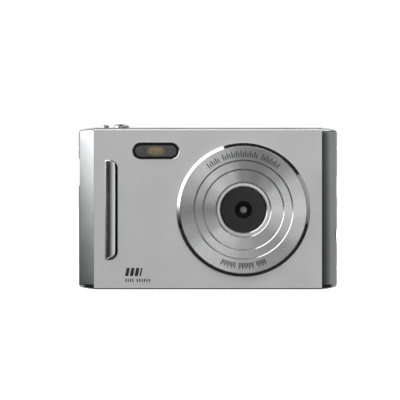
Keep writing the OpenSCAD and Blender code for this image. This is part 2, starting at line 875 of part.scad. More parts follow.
// A ring around the OK key, with a flange inside the case and a nub over each dome
module navigation_pad() {
    color("gray") difference() {
        union() {
            rod_y(keys_x, pad_z, pad_r, [y_pad, y_rear + key_proud]);
            rod_y(keys_x, pad_z, pad_r + pad_flange, [y_pad, y_pad + 0.4]);
            for (turn = [0:90:270]) translate([keys_x, 0, pad_z]) rotate([0, turn, 0])
                rod_y(pad_dome_r, 0, nub_r, [y_pad - 0.45, y_pad + 0.2]);
        }
        rod_y(keys_x, pad_z, pad_hole_r, [y_pad - cut, y_rear + key_proud + cut]);
    }
}

// The rocking seat of the pad: round ribs along Z on its outer face and along X on its inner face
module navigation_seat() {
    ends = seat_r + [0.1, -0.1];
    color("black") {
        difference() {
            rod_y(keys_x, pad_z, seat_r[1], seat_y);
            rod_y(keys_x, pad_z, seat_r[0], seat_y + [-cut, cut]);
        }
        for (side = [0, 1]) translate([keys_x, 0, pad_z]) {
            mirror([0, 0, side]) rod_z(0, seat_high_rib[0], seat_high_rib[1], ends);
            mirror([side, 0, 0]) rod_x(seat_low_rib[0], 0, seat_low_rib[1], ends);
        }
    }
}

module ok_button() {
    color("gainsboro") rod_y(keys_x, pad_z, pad_hole_r - 0.35, [y_key_stem, y_rear + key_proud - 0.15]);
}

// A snap dome on the key board
module snap_dome(x, z) {
    ball = (dome_r * dome_r + dome_h * dome_h) / (2 * dome_h);
    intersection() {
        translate([x, y_key_face + dome_h - ball, z]) sphere(r = ball);
        rod_y(x, z, dome_r, [y_key_face - 0.02, y_key_face + dome_h + cut]);
    }
}

// The circuit board of the rear keys with a snap dome under each key
module key_board() {
    color("darkgreen") {
        block([keys_x - 10.3, keys_x + 10], [y_key_board, y_key_face], [7.6, 56.2]);
        for (i = [0:3]) snap_dome(key_place(i)[0], key_place(i)[1]);
        for (turn = [0:90:270]) snap_dome(keys_x + pad_dome_r * cos(turn), pad_z + pad_dome_r * sin(turn));
        for (side = [-1, 1]) snap_dome(keys_x + side * zoom_nub, zoom_z);
        snap_dome(keys_x, pad_z);
    }
}

module status_lamp() {
    color("lime") rod_y(lamp_place[0], lamp_place[1], lamp_r, [y_key_face, y_rear]);
}

// The main board, cut away beside the top buttons, with the ribbon's plug, three coils and the memory
module main_board() {
    y = [y_board, y_board + main_t];
    part_y = y[1] - 0.02;
    half_w = 35.5;
    tab_w = 41;
    coil = 4;
    coil_step = 6;
    color("darkgreen") {
        difference() {
            union() {
                block([-half_w, half_w], y, [8.5, 55.6]);
                block([-tab_w, tab_w], y, [12, 48]);
            }
            block([-half_w - cut, -24], y + [-cut, cut], [z_switch_board - 1.2, z_cover]);
        }
        block(ribbon_x + [-0.5, 0.5], [part_y, y[1] + plug_t], [8.8, 12.4]);
        for (i = [0:2]) translate([-14 + coil_step * i, 0, 46])
            block([0, coil], [part_y, y[1] + 1.2], [0, coil]);
        block([-6, 4], [part_y, y[1] + 0.9], [20, 26]);
    }
}

module processor() {
    side = 12;
    color("black") translate([18, y_board + main_t, 26]) cube([side, 1, side]);
}

// A case with a hollow, against the roof under its holes
module speaker() {
    x = [25, 37.5];
    y = [y_inside + 0.3, y_board - 0.4];
    z = [53.6, z_roof];
    rim = 1;
    color("black") difference() {
        block(x, y, z);
        block(x + [rim, -rim], y + [rim, -rim], z + [rim, -rim]);
    }
}

module battery() {
    color("midnightblue") block([battery_x0, battery_x0 + battery_w], [battery_y0, battery_y0 + battery_t],
        [battery_z0, battery_z0 + battery_h]);
}

// The walls around the battery, open at the bottom and slotted at the top for the blades
module battery_holder() {
    x = [battery_x0 - holder_gap, battery_x0 + battery_w + holder_gap];
    y = [battery_y0 - holder_gap, battery_y0 + battery_t + holder_gap];
    top = battery_z0 + battery_h + 1.4;
    low = 3.4;
    slot_in = 1.4;
    color("dimgray") difference() {
        block(x + [-holder_t, holder_t], y + [-holder_t, holder_t], [low, top + holder_t]);
        block(x, y, [low - cut, top]);
        for (i = [0:2]) translate([battery_x0 + blade_x0 + blade_step * i, 0, top])
            block([0, blade_w], y + [slot_in, -slot_in], [-cut, 2 * cut]);
    }
}

// Three sprung blades that touch the top of the battery
module battery_contacts() {
    x = [0.1, blade_w - 0.1];
    y = battery_y0 + battery_t / 2;
    t = 0.3;
    color("gold") for (i = [0:2])
        translate([battery_x0 + blade_x0 + blade_step * i, y, battery_z0 + battery_h]) {
            block(x, [-1.2, 1.2], [1.9 - t, 1.9]);
            block(x, [0.8, 1.2], [t - 0.1, 1.7]);
            block(x, [-1, 1.2], [0, t]);
        }
}

// A flap with a knuckle at its hinge, two hooks and a rib inside, and three nail grooves outside
module battery_door() {
    y = [door_y0, door_y1];
    color("gray") difference() {
        union() {
            block([door_x0, hinge_x], y, [0, door_t]);
            rod_y(hinge_x, hinge_z, knuckle_r, y);
            for (hook_y = [[y[0] + 0.6, y[0] + 2.4], [y[1] - 2.4, y[1] - 0.6]])
                block([door_x0, door_x0 + 0.8], hook_y, [door_t / 2, 3]);
            block([battery_x0 + 3, battery_x0 + battery_w - 3],
                [battery_y0 + 1.2, battery_y0 + battery_t - 1.2], [door_t / 2, battery_z0 - 0.1]);
        }
        rod_y(hinge_x, hinge_z, door_pin_r + pin_clear, y + [-cut, cut]);
        for (i = [0:2]) rod_y(door_x0 + 2.4 + 1.2 * i, -0.1, door_groove_r, y + [1.6, -1.6]);
    }
}

module door_pin() {
    color("gainsboro") rod_y(hinge_x, hinge_z, door_pin_r, [y_shell + 0.5, y_split - 0.4]);
}

// A sheet metal cage on the main board, open to the side of the camera
module card_socket() {
    rim = 0.6;
    back = 0.5;
    play = 0.1;
    x = [card_x1 - card_len - 1.5, card_x1 - 3.5];
    z = [card_z - card_w / 2 - rim - 0.2, card_z + card_w / 2 + rim + 0.2];
    color("silver") difference() {
        block(x, [card_y0 - back, y_board], z);
        block(x + [back, cut], [card_y0 - play, card_y0 + card_t + play], z + [rim, -rim]);
        block(x + [back, -cut], [card_y0 + card_t + back, y_board - 0.3], z + [rim, -rim]);
    }
}

module memory_card() {
    x = [card_x1 - card_len, card_x1];
    z = [card_z - card_w / 2, card_z + card_w / 2];
    color("black") difference() {
        block(x, [card_y0, card_y0 + card_t], z);
        translate([x[0], card_y0, z[1]]) rotate([0, 45, 0]) cube([2, 4 * cut, 2], center = true);
    }
}

// A small reversible socket: a rounded metal shell with a tongue
module usb_port() {
    x = [port_x1 - port_len, port_x1];
    tongue = [port_w - 2.6, 0.7];
    color("silver") translate([0, port_y, port_z]) rotate([90, 0, 0]) {
        difference() {
            along_x(x) stadium(port_w, port_h);
            along_x(x + [0.5, cut]) stadium(port_w - 2 * port_wall, port_h - 2 * port_wall);
        }
        along_x(x + [0.3, -0.7]) square(tongue, center = true);
    }
}

module tripod_socket() {
    color("goldenrod") difference() {
        rod_z(tripod_x, tripod_y, insert_r, [0, insert_h]);
        rod_z(tripod_x, tripod_y, tripod_r, [-cut, tripod_depth]);
    }
}

module strap_bar() {
    half = strap_len / 2 + strap_end;
    color("gainsboro") rod_z(strap_x, y_mid, strap_r, [strap_z - half, strap_z + half]);
}

front_panel();
front_shell();
rear_shell();
top_cover();
end_cap_left();
end_cap_right();
case_screws();
lens_housing();
lens_trim_ring();
lens_outer_ring();
lens_middle_ring();
lens_inner_ring();
lens_bezel();
lens_window();
lens_barrel();
lens_front_element();
lens_rear_element();
lens_mount();
infrared_filter();
image_sensor();
sensor_board();
flash_bezel();
flash_window();
flash_reflector();
flash_lamp();
flash_board();
grip_bar();
shutter_button();
shutter_switch();
power_button();
power_switch();
button_board();
display_window();
display_panel();
display_frame();
display_ribbon();
zoom_rocker();
zoom_pin();
play_button();
mode_button();
menu_button();
delete_button();
navigation_pad();
navigation_seat();
ok_button();
key_board();
status_lamp();
main_board();
processor();
speaker();
battery();
battery_holder();
battery_contacts();
battery_door();
door_pin();
card_socket();
memory_card();
usb_port();
tripod_socket();
strap_bar();
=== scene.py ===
"""Finishes and fine pieces of a compact digital camera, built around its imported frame."""

import json
import logging
import math
from dataclasses import dataclass
from enum import Enum
from typing import Callable, Sequence

import bmesh
import bpy
from mathutils import Matrix, Vector


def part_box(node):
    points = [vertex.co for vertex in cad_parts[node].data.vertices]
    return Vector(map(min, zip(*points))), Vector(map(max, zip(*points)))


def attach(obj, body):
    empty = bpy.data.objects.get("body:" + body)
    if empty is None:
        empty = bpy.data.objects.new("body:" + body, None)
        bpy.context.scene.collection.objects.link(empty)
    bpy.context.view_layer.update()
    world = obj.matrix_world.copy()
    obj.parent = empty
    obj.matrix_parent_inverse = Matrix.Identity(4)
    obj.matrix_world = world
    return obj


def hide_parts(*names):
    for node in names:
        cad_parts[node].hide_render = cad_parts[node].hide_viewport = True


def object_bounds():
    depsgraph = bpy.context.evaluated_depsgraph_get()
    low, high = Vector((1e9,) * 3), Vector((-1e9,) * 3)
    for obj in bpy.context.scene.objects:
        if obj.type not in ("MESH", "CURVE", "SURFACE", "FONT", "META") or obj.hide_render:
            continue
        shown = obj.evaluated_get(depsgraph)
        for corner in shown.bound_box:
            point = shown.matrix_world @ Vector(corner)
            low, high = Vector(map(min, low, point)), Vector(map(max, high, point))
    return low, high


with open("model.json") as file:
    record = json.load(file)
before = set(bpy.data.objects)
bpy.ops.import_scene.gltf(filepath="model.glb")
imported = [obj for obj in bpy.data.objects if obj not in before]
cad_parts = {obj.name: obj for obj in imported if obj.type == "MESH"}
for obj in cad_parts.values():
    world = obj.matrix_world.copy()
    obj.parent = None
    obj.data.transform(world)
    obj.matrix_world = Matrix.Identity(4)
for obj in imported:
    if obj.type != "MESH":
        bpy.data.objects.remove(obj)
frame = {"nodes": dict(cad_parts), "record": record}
CAD_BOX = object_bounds()
NODES: dict[str, bpy.types.Object] = frame["nodes"]
RECORD = frame["record"]
BODY_OF = {node: body for body, nodes in RECORD["behaviour"]["bodies"].items() for node in nodes}
SLOT_OF = {part["node"]: part["material_slot"] for part in RECORD["subparts"]}

MM = 0.001
GAP = 0.05 * MM
NEARLY = 0.9
ROUND_STEPS = 160
log = logging.getLogger("camera")

Colour = tuple[float, float, float]
Socket = bpy.types.NodeSocket
Value = Socket | float | Colour
Element = bmesh.types.BMVert | bmesh.types.BMEdge | bmesh.types.BMFace


class Axis(Enum):
    """Direction of a turned piece's axis."""

    X = 0
    Y = 1
    Z = 2

    def place(self, centre: Vector, level: float) -> Vector:
        """Puts a level along the axis into a centre point.

        Args:
            centre: A point on the axis.
            level: Coordinate along the axis.

        Returns:
            The point on the axis at that level.
        """
        point = centre.copy()
        point[self.value] = level
        return point

    @property
    def lean(self) -> tuple[float, float, float]:
        """Rotation that turns a circle in the XY plane square to the axis."""
        return ((0, math.pi / 2, 0), (math.pi / 2, 0, 0), (0, 0, 0))[self.value]

    def across(self, factor: float) -> tuple[float, float, float]:
        """Scale factors that widen a loop about the axis."""
        return tuple(1.0 if i == self.value else factor for i in range(3))

    def along(self, distance: float) -> tuple[float, float, float]:
        """A move along the axis."""
        return tuple(distance if i == self.value else 0.0 for i in range(3))


# ----------------------------------------------------------------------------------------------
# Shader graphs
# ----------------------------------------------------------------------------------------------


class Graph:
    """Places and joins the shader nodes of one tree."""

    def __init__(self, tree: bpy.types.NodeTree) -> None:
        """Starts on a node tree."""
        self.tree = tree

    def add(self, kind: str, inputs: dict[str | int, Value] | None = None,
            **settings: object) -> bpy.types.Node:
        """Places a node.

        Args:
            kind: Blender's type name of the node.
            inputs: Values or sockets for its inputs, by name or index.
            settings: Attributes of the node.

        Returns:
            The new node.
        """
        node = self.tree.nodes.new(kind)
        for name, value in settings.items():
            setattr(node, name, value)
        self.fill(node, inputs or {})
        return node

    def fill(self, node: bpy.types.Node, inputs: dict[str | int, Value]) -> None:
        """Sets or joins several inputs of a node."""
        for name, value in inputs.items():
            self.feed(node.inputs[name], value)

    def feed(self, socket: Socket, value: Value) -> None:
        """Sets an input to a value, or joins it to a socket.

        Args:
            socket: The input.
            value: A number, a colour, a vector or an output socket.
        """
        if isinstance(value, bpy.types.NodeSocket):
            self.tree.links.new(value, socket)
        elif socket.type == "RGBA" and len(value) == 3:
            socket.default_value = (*value, 1.0)
        else:
            socket.default_value = value

    def math(self, operation: str, *values: Value, clamp: bool = False) -> Socket:
        """Works out a number from others.

        Args:
            operation: Name of the operation.
            values: Its one to three arguments.
            clamp: Whether the result stays from 0 to 1.

        Returns:
            The result.
        """
        node = self.add("ShaderNodeMath", dict(enumerate(values)), operation=operation,
                        use_clamp=clamp)
        return node.outputs[0]

    def ease(self, value: Socket, low: float, high: float, to_low: float = 0.0,
             to_high: float = 1.0) -> Socket:
        """Maps a range of a value smoothly onto another range.

        Args:
            value: The value.
            low: Start of its range.
            high: End of its range.
            to_low: Result at the start.
            to_high: Result at the end.

        Returns:
            The mapped value.
        """
        node = self.add(
            "ShaderNodeMapRange",
            {"Value": value, "From Min": low, "From Max": high, "To Min": to_low,
             "To Max": to_high},
            interpolation_type="SMOOTHSTEP",
        )
        return node.outputs["Result"]

    def blend(self, factor: Value, first: Value, second: Value, mode: str = "MIX") -> Socket:
        """Mixes two colours.

        Args:
            factor: Share of the second colour.
            first: The first colour.
            second: The second colour.
            mode: Name of the mixing mode.

        Returns:
            The mixed colour.
        """
        node = self.add("ShaderNodeMix", data_type="RGBA", blend_type=mode)
        self.fill(node, {0: factor, 6: first, 7: second})
        return node.outputs[2]

    def tint(self, colour: Value, factor: Socket) -> Socket:
        """Makes a colour lighter or darker."""
        grey = self.add("ShaderNodeCombineColor", {0: factor, 1: factor, 2: factor})
        return self.blend(1.0, colour, grey.outputs[0], "MULTIPLY")

    def ramp(self, factor: Socket, stops: Sequence[tuple[float, float]]) -> Socket:
        """Turns a value into a grey tone that eases from stop to stop.

        Args:
            factor: The value, from 0 to 1.
            stops: Places and tones, in order.

        Returns:
            The tone.
        """
        node = self.add("ShaderNodeValToRGB", {"Fac": factor})
        band = node.color_ramp
        band.interpolation = "EASE"
        while len(band.elements) < len(stops):
            band.elements.new(0.5)
        for element, (place, tone) in zip(band.elements, stops):
            element.position = place
            element.color = (tone, tone, tone, 1.0)
        return node.outputs["Color"]

    def noise(self, vector: Socket, scale: Value, detail: float, roughness: float) -> Socket:
        """Makes soft noise.

        Args:
            vector: Where it is read.
            scale: Number of its features in a metre.
            detail: Number of finer layers.
            roughness: Strength of the finer layers.

        Returns:
            The noise, around 0.5.
        """
        node = self.add(
            "ShaderNodeTexNoise",
            {"Vector": vector, "Scale": scale, "Detail": detail, "Roughness": roughness},
        )
        return node.outputs["Fac"]

    def place(self) -> Socket:
        """The surface point in object coordinates, in metres."""
        return self.add("ShaderNodeTexCoord").outputs["Object"]

    def split(self, vector: Socket) -> bpy.types.NodeOutputs:
        """The three numbers of a vector."""
        return self.add("ShaderNodeSeparateXYZ", {0: vector}).outputs


@dataclass(frozen=True)
class Effect:
    """A surface effect that several finishes share, kept as one node group.

    Fields: its name, its number inputs with their defaults, its outputs, and the function that
    wires it from its input node to its outputs.
    """

    name: str
    inputs: tuple[tuple[str, float], ...]
    outputs: tuple[str, ...]
    wire: Callable[[Graph, bpy.types.Node], dict[str, Socket]]

    def tree(self) -> bpy.types.NodeTree:
        """The node group, built at its first use."""
        made = bpy.data.node_groups.get(self.name)
        if made:
            return made
        made = bpy.data.node_groups.new(self.name, "ShaderNodeTree")
        for name, default in self.inputs:
            socket = made.interface.new_socket(name=name, in_out="INPUT",
                                               socket_type="NodeSocketFloat")
            socket.default_value = default
        for name in self.outputs:
            made.interface.new_socket(name=name, in_out="OUTPUT", socket_type="NodeSocketFloat")
        graph = Graph(made)
        start = graph.add("NodeGroupInput")
        end = graph.add("NodeGroupOutput")
        for name, socket in self.wire(graph, start).items():
            graph.feed(end.inputs[name], socket)
        return made

    def put(self, graph: Graph, **values: float) -> bpy.types.NodeOutputs:
        """Places the effect in a material.

        Args:
            graph: The material's graph.
            values: Values of its inputs, with underscores for spaces.

        Returns:
            The outputs of the placed group.
        """
        node = graph.add("ShaderNodeGroup")
        node.node_tree = self.tree()
        for name, value in values.items():
            node.inputs[name.replace("_", " ").capitalize()].default_value = value
        return node.outputs


def wire_grain(graph: Graph, start: bpy.types.Node) -> dict[str, Socket]:
    """Fine grain with a broader cloudiness.

    Args:
        graph: The group's graph.
        start: Its input node.

    Returns:
        The height of the grain and a slow tone variation, both around 0.5.
    """
    point = graph.place()
    fine = graph.noise(point, start.outputs["Scale"], 3.0, 0.65)
    broad = graph.noise(point, start.outputs["Cloud scale"], 2.0, 0.5)
    return {"Height": fine, "Cloud": broad}


def wire_brushed(graph: Graph, start: bpy.types.Node) -> dict[str, Socket]:
    """Fine lines that run along X."""
    stretched = graph.add("ShaderNodeMapping", {"Vector": graph.place(), "Scale": (0.02, 1.0, 1.0)})
    return {"Height": graph.noise(stretched.outputs[0], start.outputs["Scale"], 4.0, 0.7)}


def wire_turned(graph: Graph, start: bpy.types.Node) -> dict[str, Socket]:
    """Tool marks of a lathe around an axis along Y.

    Args:
        graph: The group's graph.
        start: Its input node.

    Returns:
        The clock angle from 0 to 1, fine rings and radial streaks around 0.5, and the radius.
    """
    point = graph.split(graph.place())
    across = graph.math("SUBTRACT", point["X"], start.outputs["Centre x"])
    up = graph.math("SUBTRACT", point["Z"], start.outputs["Centre z"])
    turn = graph.math("ARCTAN2", across, up)
    angle = graph.math("FRACT", graph.math("DIVIDE", turn, 2 * math.pi))
    radius = graph.math("SQRT",
                        graph.math("ADD", graph.math("POWER", across, 2.0),
                                   graph.math("POWER", up, 2.0)))
    rings_at = graph.add("ShaderNodeCombineXYZ", {"X": radius})
    rings = graph.noise(rings_at.outputs[0], start.outputs["Ring scale"], 3.0, 0.7)
    spoke = graph.add(
        "ShaderNodeCombineXYZ",
        {
            "X": graph.math("DIVIDE", across, radius),
            "Y": graph.math("DIVIDE", up, radius),
            "Z": graph.math("MULTIPLY", radius, 25.0),
        },
    )
    streaks = graph.noise(spoke.outputs[0], start.outputs["Streak scale"], 5.0, 0.75)
    return {"Angle": angle, "Rings": rings, "Streaks": streaks, "Radius": radius}


def wire_wear(graph: Graph, start: bpy.types.Node) -> dict[str, Socket]:
    """A mask of rubbed edges.

    Args:
        graph: The group's graph.
        start: Its input node.

    Returns:
        The mask, 1 where an edge is worn.
    """
    rounded = graph.add("ShaderNodeBevel", {"Radius": start.outputs["Reach"]}, samples=4)
    flat = graph.add("ShaderNodeNewGeometry").outputs["Normal"]
    match = graph.add("ShaderNodeVectorMath", {0: rounded.outputs[0], 1: flat},
                      operation="DOT_PRODUCT")
    edge = graph.ease(match.outputs["Value"], 0.995, 0.88)
    patches = graph.ease(graph.noise(graph.place(), 1400.0, 4.0, 0.7), 0.42, 0.62)
    return {"Mask": graph.math("MULTIPLY", edge, patches, clamp=True)}


def wire_handling(graph: Graph, start: bpy.types.Node) -> dict[str, Socket]:
    """Soft smudges and a few specks of dust.

    Args:
        graph: The group's graph.
        start: Its input node.

    Returns:
        The smudges and the dust, both from 0 to 1.
    """
    point = graph.place()
    smudge = graph.ease(graph.noise(point, start.outputs["Scale"], 5.0, 0.6), 0.42, 0.7)
    dust = graph.ease(graph.noise(point, 5200.0, 1.0, 0.4), 0.74, 0.8)
    return {"Smudge": smudge, "Dust": dust}


GRAIN = Effect("fine_grain", (("Scale", 9000.0), ("Cloud scale", 60.0)), ("Height", "Cloud"),
               wire_grain)
BRUSHED = Effect("brushed_lines", (("Scale", 9000.0),), ("Height",), wire_brushed)
TURNED = Effect(
    "turned_marks",
    (("Centre x", 0.0), ("Centre z", 0.0), ("Ring scale", 9000.0), ("Streak scale", 38.0)),
    ("Angle", "Rings", "Streaks", "Radius"),
    wire_turned,
)
WEAR = Effect("rubbed_edges", (("Reach", 0.0002),), ("Mask",), wire_wear)
HANDLING = Effect("handling_marks", (("Scale", 90.0),), ("Smudge", "Dust"), wire_handling)


# ----------------------------------------------------------------------------------------------
# Finishes
# ----------------------------------------------------------------------------------------------

# The part of a noise's range that nearly all of its values fall in
MIDDLE_BAND = (0.3, 0.7)
RUBBED_EDGE = 0.15 * MM
DUST = (0.5, 0.49, 0.46)


@dataclass(frozen=True)
class Finish:
    """A named finish. Each kind wires its own shader."""

    name: str

    def material(self) -> bpy.types.Material:
        """The material of this finish, built at its first use."""
        made = bpy.data.materials.get(self.name)
        if made:
            return made
        made = bpy.data.materials.new(self.name)
        made.use_nodes = True
        made.node_tree.nodes.clear()
        graph = Graph(made.node_tree)
        shader = graph.add("ShaderNodeBsdfPrincipled")
        graph.feed(graph.add("ShaderNodeOutputMaterial").inputs["Surface"], shader.outputs[0])
        self.wire(graph, shader)
        return made

    def wire(self, graph: Graph, shader: bpy.types.Node) -> None:
        """Joins the finish's nodes to its shader."""
        raise NotImplementedError

    @staticmethod
    def bump(graph: Graph, shader: bpy.types.Node, height: Socket, depth: float,
             strength: float = 1.0) -> None:
        """Gives the shader a bump.

        Args:
            graph: The material's graph.
            shader: Its Principled shader.
            height: Height from 0 to 1.
            depth: Depth of a full height, in metres.
            strength: Strength of the bump.
        """
        node = graph.add("ShaderNodeBump",
                         {"Height": height, "Distance": depth, "Strength": strength})
        graph.feed(shader.inputs["Normal"], node.outputs[0])


@dataclass(frozen=True)
class Metal(Finish):
    """Blasted, polished or plated metal with grain, smudges and rubbed edges."""

    colour: Colour = (0.7, 0.7, 0.7)
    worn: Colour = (0.9, 0.9, 0.9)
    roughness: float = 0.3
    smudge: float = 0.05
    cloud: float = 0.04
    grain: float = 9000.0
    depth: float = 0.004 * MM
    grain_roughness: float = 0.04
    brushed: bool = False

    def wire(self, graph: Graph, shader: bpy.types.Node) -> None:
        """Joins the finish's nodes to its shader.

        Args:
            graph: The material's graph.
            shader: Its Principled shader.
        """
        grain = GRAIN.put(graph, scale=self.grain)
        marks = HANDLING.put(graph)
        edge = WEAR.put(graph, reach=RUBBED_EDGE)["Mask"]
        height = BRUSHED.put(graph)["Height"] if self.brushed else grain["Height"]
        tone = graph.ease(grain["Cloud"], *MIDDLE_BAND, 1 - self.cloud, 1 + self.cloud)
        rough = graph.math("MULTIPLY_ADD", marks["Smudge"], self.smudge, self.roughness)
        graph.fill(shader, {
            "Base Color": graph.blend(edge, graph.tint(self.colour, tone), self.worn),
            "Roughness": graph.math("MULTIPLY_ADD", height, self.grain_roughness, rough),
            "Metallic": 1.0,
        })
        self.bump(graph, shader, height, self.depth)


@dataclass(frozen=True)
class TurnedMetal(Finish):
    """Lathe-turned metal with fine radial streaks and a painted sheen: light and dark sectors by
    clock angle, painted into the colour of the faces that face forward.

    The slopes, which don't face straight forward, have one tone, without the painted sheen, and a
    higher polish.
    """

    centre: tuple[float, float]
    # Painted sheen: tone stops by clock angle, painted into the colour of the forward faces.
    painted_sheen: tuple[tuple[float, float], ...]
    roughness: float
    streak: float
    slope_tone: float = 0.9
    polish: float = 0.12
    slope_from: tuple[float, float] = (-0.95, -0.85)
    ring: float = 0.05
    smudge: float = 0.05
    worn: Colour = (0.85, 0.85, 0.85)
    rubbed: float = 0.08 * MM
    depth: float = 0.006 * MM

    def wire(self, graph: Graph, shader: bpy.types.Node) -> None:
        """Joins the finish's nodes to its shader.

        Args:
            graph: The material's graph.
            shader: Its Principled shader.
        """
        turned = TURNED.put(graph, centre_x=self.centre[0], centre_z=self.centre[1])
        marks = HANDLING.put(graph, scale=70.0)
        edge = WEAR.put(graph, reach=self.rubbed)["Mask"]
        facing = graph.split(graph.add("ShaderNodeNewGeometry").outputs["Normal"])["Y"]
        slope = graph.ease(facing, *self.slope_from)
        # Painted sheen by clock angle on the forward faces, one plain tone on the slopes.
        base = graph.blend(slope, graph.ramp(turned["Angle"], self.painted_sheen), (self.slope_tone,) * 3)
        streak = graph.ease(turned["Streaks"], *MIDDLE_BAND, 1 - self.streak, 1 + self.streak)
        ring = graph.ease(turned["Rings"], *MIDDLE_BAND, 1 - self.ring, 1 + self.ring)
        shade = graph.tint(base, graph.math("MULTIPLY", streak, ring))
        rough = graph.math("MULTIPLY_ADD", marks["Smudge"], self.smudge, self.roughness)
        graph.fill(shader, {
            "Base Color": graph.blend(edge, shade, self.worn),
            "Roughness": graph.math("MULTIPLY_ADD", slope, -self.polish, rough),
            "Metallic": 1.0,
        })
        self.bump(graph, shader, turned["Rings"], self.depth)


@dataclass(frozen=True)
class Plastic(Finish):
    """Moulded or painted plastic with a fine texture and edges rubbed lighter."""

    colour: Colour = (0.03, 0.03, 0.03)
    worn: Colour = (0.12, 0.12, 0.12)
    roughness: float = 0.4
    smudge: float = 0.1
    grain: float = 7000.0
    depth: float = 0.012 * MM
    coat: float = 0.0
    coat_roughness: float = 0.08
    cloud: float = 0.12
    specular: float = 0.5
    wear: float = 0.6
    dust: float = 0.12

    def wire(self, graph: Graph, shader: bpy.types.Node) -> None:
        """Joins the finish's nodes to its shader.

        Args:
            graph: The material's graph.
            shader: Its Principled shader.
        """
        grain = GRAIN.put(graph, scale=self.grain)
        marks = HANDLING.put(graph)
        edge = WEAR.put(graph, reach=RUBBED_EDGE)["Mask"]
        light = tuple(min(1.0, c * (1 + self.cloud)) for c in self.colour)
        dark = tuple(c * (1 - self.cloud) for c in self.colour)
        shade = graph.blend(graph.ease(grain["Cloud"], *MIDDLE_BAND), dark, light)
        shade = graph.blend(graph.math("MULTIPLY", edge, self.wear), shade, self.worn)
        graph.fill(shader, {
            "Base Color": graph.blend(graph.math("MULTIPLY", marks["Dust"], self.dust), shade,
                                      DUST),
            "Roughness": graph.math("MULTIPLY_ADD", marks["Smudge"], self.smudge, self.roughness),
            "Specular IOR Level": self.specular,
            "Coat Weight": self.coat,
            "Coat Roughness": self.coat_roughness,
        })
        self.bump(graph, shader, grain["Height"], self.depth)


@dataclass(frozen=True)
class Glass(Finish):
    """Clear or coated glass and plastic windows."""

    colour: Colour = (1.0, 1.0, 1.0)
    transmission: float = 1.0
    metallic: float = 0.0
    roughness: float = 0.05
    refraction: float = 1.49
    smudge: float = 0.05
    grease: float = 0.08
    grease_colour: Colour = (0.8, 0.78, 0.72)

    def wire(self, graph: Graph, shader: bpy.types.Node) -> None:
        """Joins the finish's nodes to its shader.

        Args:
            graph: The material's graph.
            shader: Its Principled shader.
        """
        marks = HANDLING.put(graph, scale=260.0)
        greasy = graph.math("MULTIPLY", marks["Smudge"], self.grease)
        graph.fill(shader, {
            "Base Color": graph.blend(greasy, self.colour, self.grease_colour),
            "Roughness": graph.math("MULTIPLY_ADD", marks["Smudge"], self.smudge, self.roughness),
            "Transmission Weight": self.transmission,
            "Metallic": self.metallic,
            "IOR": self.refraction,
        })


@dataclass(frozen=True)
class CircuitBoard(Finish):
    """Green board with traces, pads and a solder mask."""

    cells: float = 420.0
    mask: Colour = (0.008, 0.07, 0.035)
    trace: Colour = (0.015, 0.12, 0.055)
    stain: Colour = (0.005, 0.04, 0.02)
    pad: Colour = (0.75, 0.55, 0.2)

    def wire(self, graph: Graph, shader: bpy.types.Node) -> None:
        """Joins the finish's nodes to its shader.

        Args:
            graph: The material's graph.
            shader: Its Principled shader.
        """
        cells = graph.add("ShaderNodeTexVoronoi", {"Vector": graph.place(), "Scale": self.cells},
                          distance="MANHATTAN").outputs["Distance"]
        traces = graph.ease(graph.math("FRACT", graph.math("MULTIPLY", cells, 5.0)), 0.42, 0.5)
        pads = graph.ease(cells, 0.16, 0.12)
        grain = GRAIN.put(graph, scale=3000.0)
        mask = graph.blend(traces, self.mask, self.trace)
        mask = graph.blend(graph.math("MULTIPLY", grain["Cloud"], 0.3), mask, self.stain)
        graph.fill(shader, {
            "Base Color": graph.blend(pads, mask, self.pad),
            "Metallic": pads,
            "Roughness": graph.ease(grain["Height"], *MIDDLE_BAND, 0.28, 0.42),
        })
        self.bump(graph, shader, traces, 0.02 * MM, 0.6)


@dataclass(frozen=True)
class Printed(Finish):
    """A sleeve, a label or a screen: broad bands of print over a base."""

    base: Colour
    band: Colour
    period: float
    share: float
    roughness: float
    upright: bool = True
    ink: float = 0.85
    grease: float = 0.1
    grease_colour: Colour = (0.3, 0.3, 0.3)
    smudge: float = 0.12
    depth: float = 0.006 * MM

    def wire(self, graph: Graph, shader: bpy.types.Node) -> None:
        """Joins the finish's nodes to its shader.

        Args:
            graph: The material's graph.
            shader: Its Principled shader.
        """
        point = graph.split(graph.place())
        along = point["Z"] if self.upright else point["X"]
        phase = graph.math("FRACT", graph.math("DIVIDE", along, self.period))
        stripe = graph.math("LESS_THAN", phase, self.share)
        marks = HANDLING.put(graph)
        grain = GRAIN.put(graph, scale=5000.0)
        shade = graph.blend(graph.math("MULTIPLY", stripe, self.ink), self.base, self.band)
        greasy = graph.math("MULTIPLY", marks["Smudge"], self.grease)
        graph.fill(shader, {
            "Base Color": graph.blend(greasy, shade, self.grease_colour),
            "Roughness": graph.math("MULTIPLY_ADD", marks["Smudge"], self.smudge, self.roughness),
        })
        self.bump(graph, shader, grain["Height"], self.depth)


@dataclass(frozen=True)
class Glow(Finish):
    """A lamp that shines a little by itself: the lit status lamp, and the flash lamp, which is not
    fired and whose faint glow is painted light.
    """

    colour: Colour
    strength: float
    roughness: float = 0.5
    dimmed: float = 0.7
    depth: float = 0.02 * MM

    def wire(self, graph: Graph, shader: bpy.types.Node) -> None:
        """Joins the finish's nodes to its shader.

        Args:
            graph: The material's graph.
            shader: Its Principled shader.
        """
        grain = GRAIN.put(graph, scale=2500.0, cloud_scale=500.0)
        dim = tuple(self.dimmed * c for c in self.colour)
        shade = graph.blend(graph.ease(grain["Cloud"], *MIDDLE_BAND), dim, self.colour)
        graph.fill(shader, {
            "Base Color": shade,
            "Emission Color": shade,
            "Emission Strength": self.strength,
            "Roughness": self.roughness,
        })
        self.bump(graph, shader, grain["Height"], self.depth)


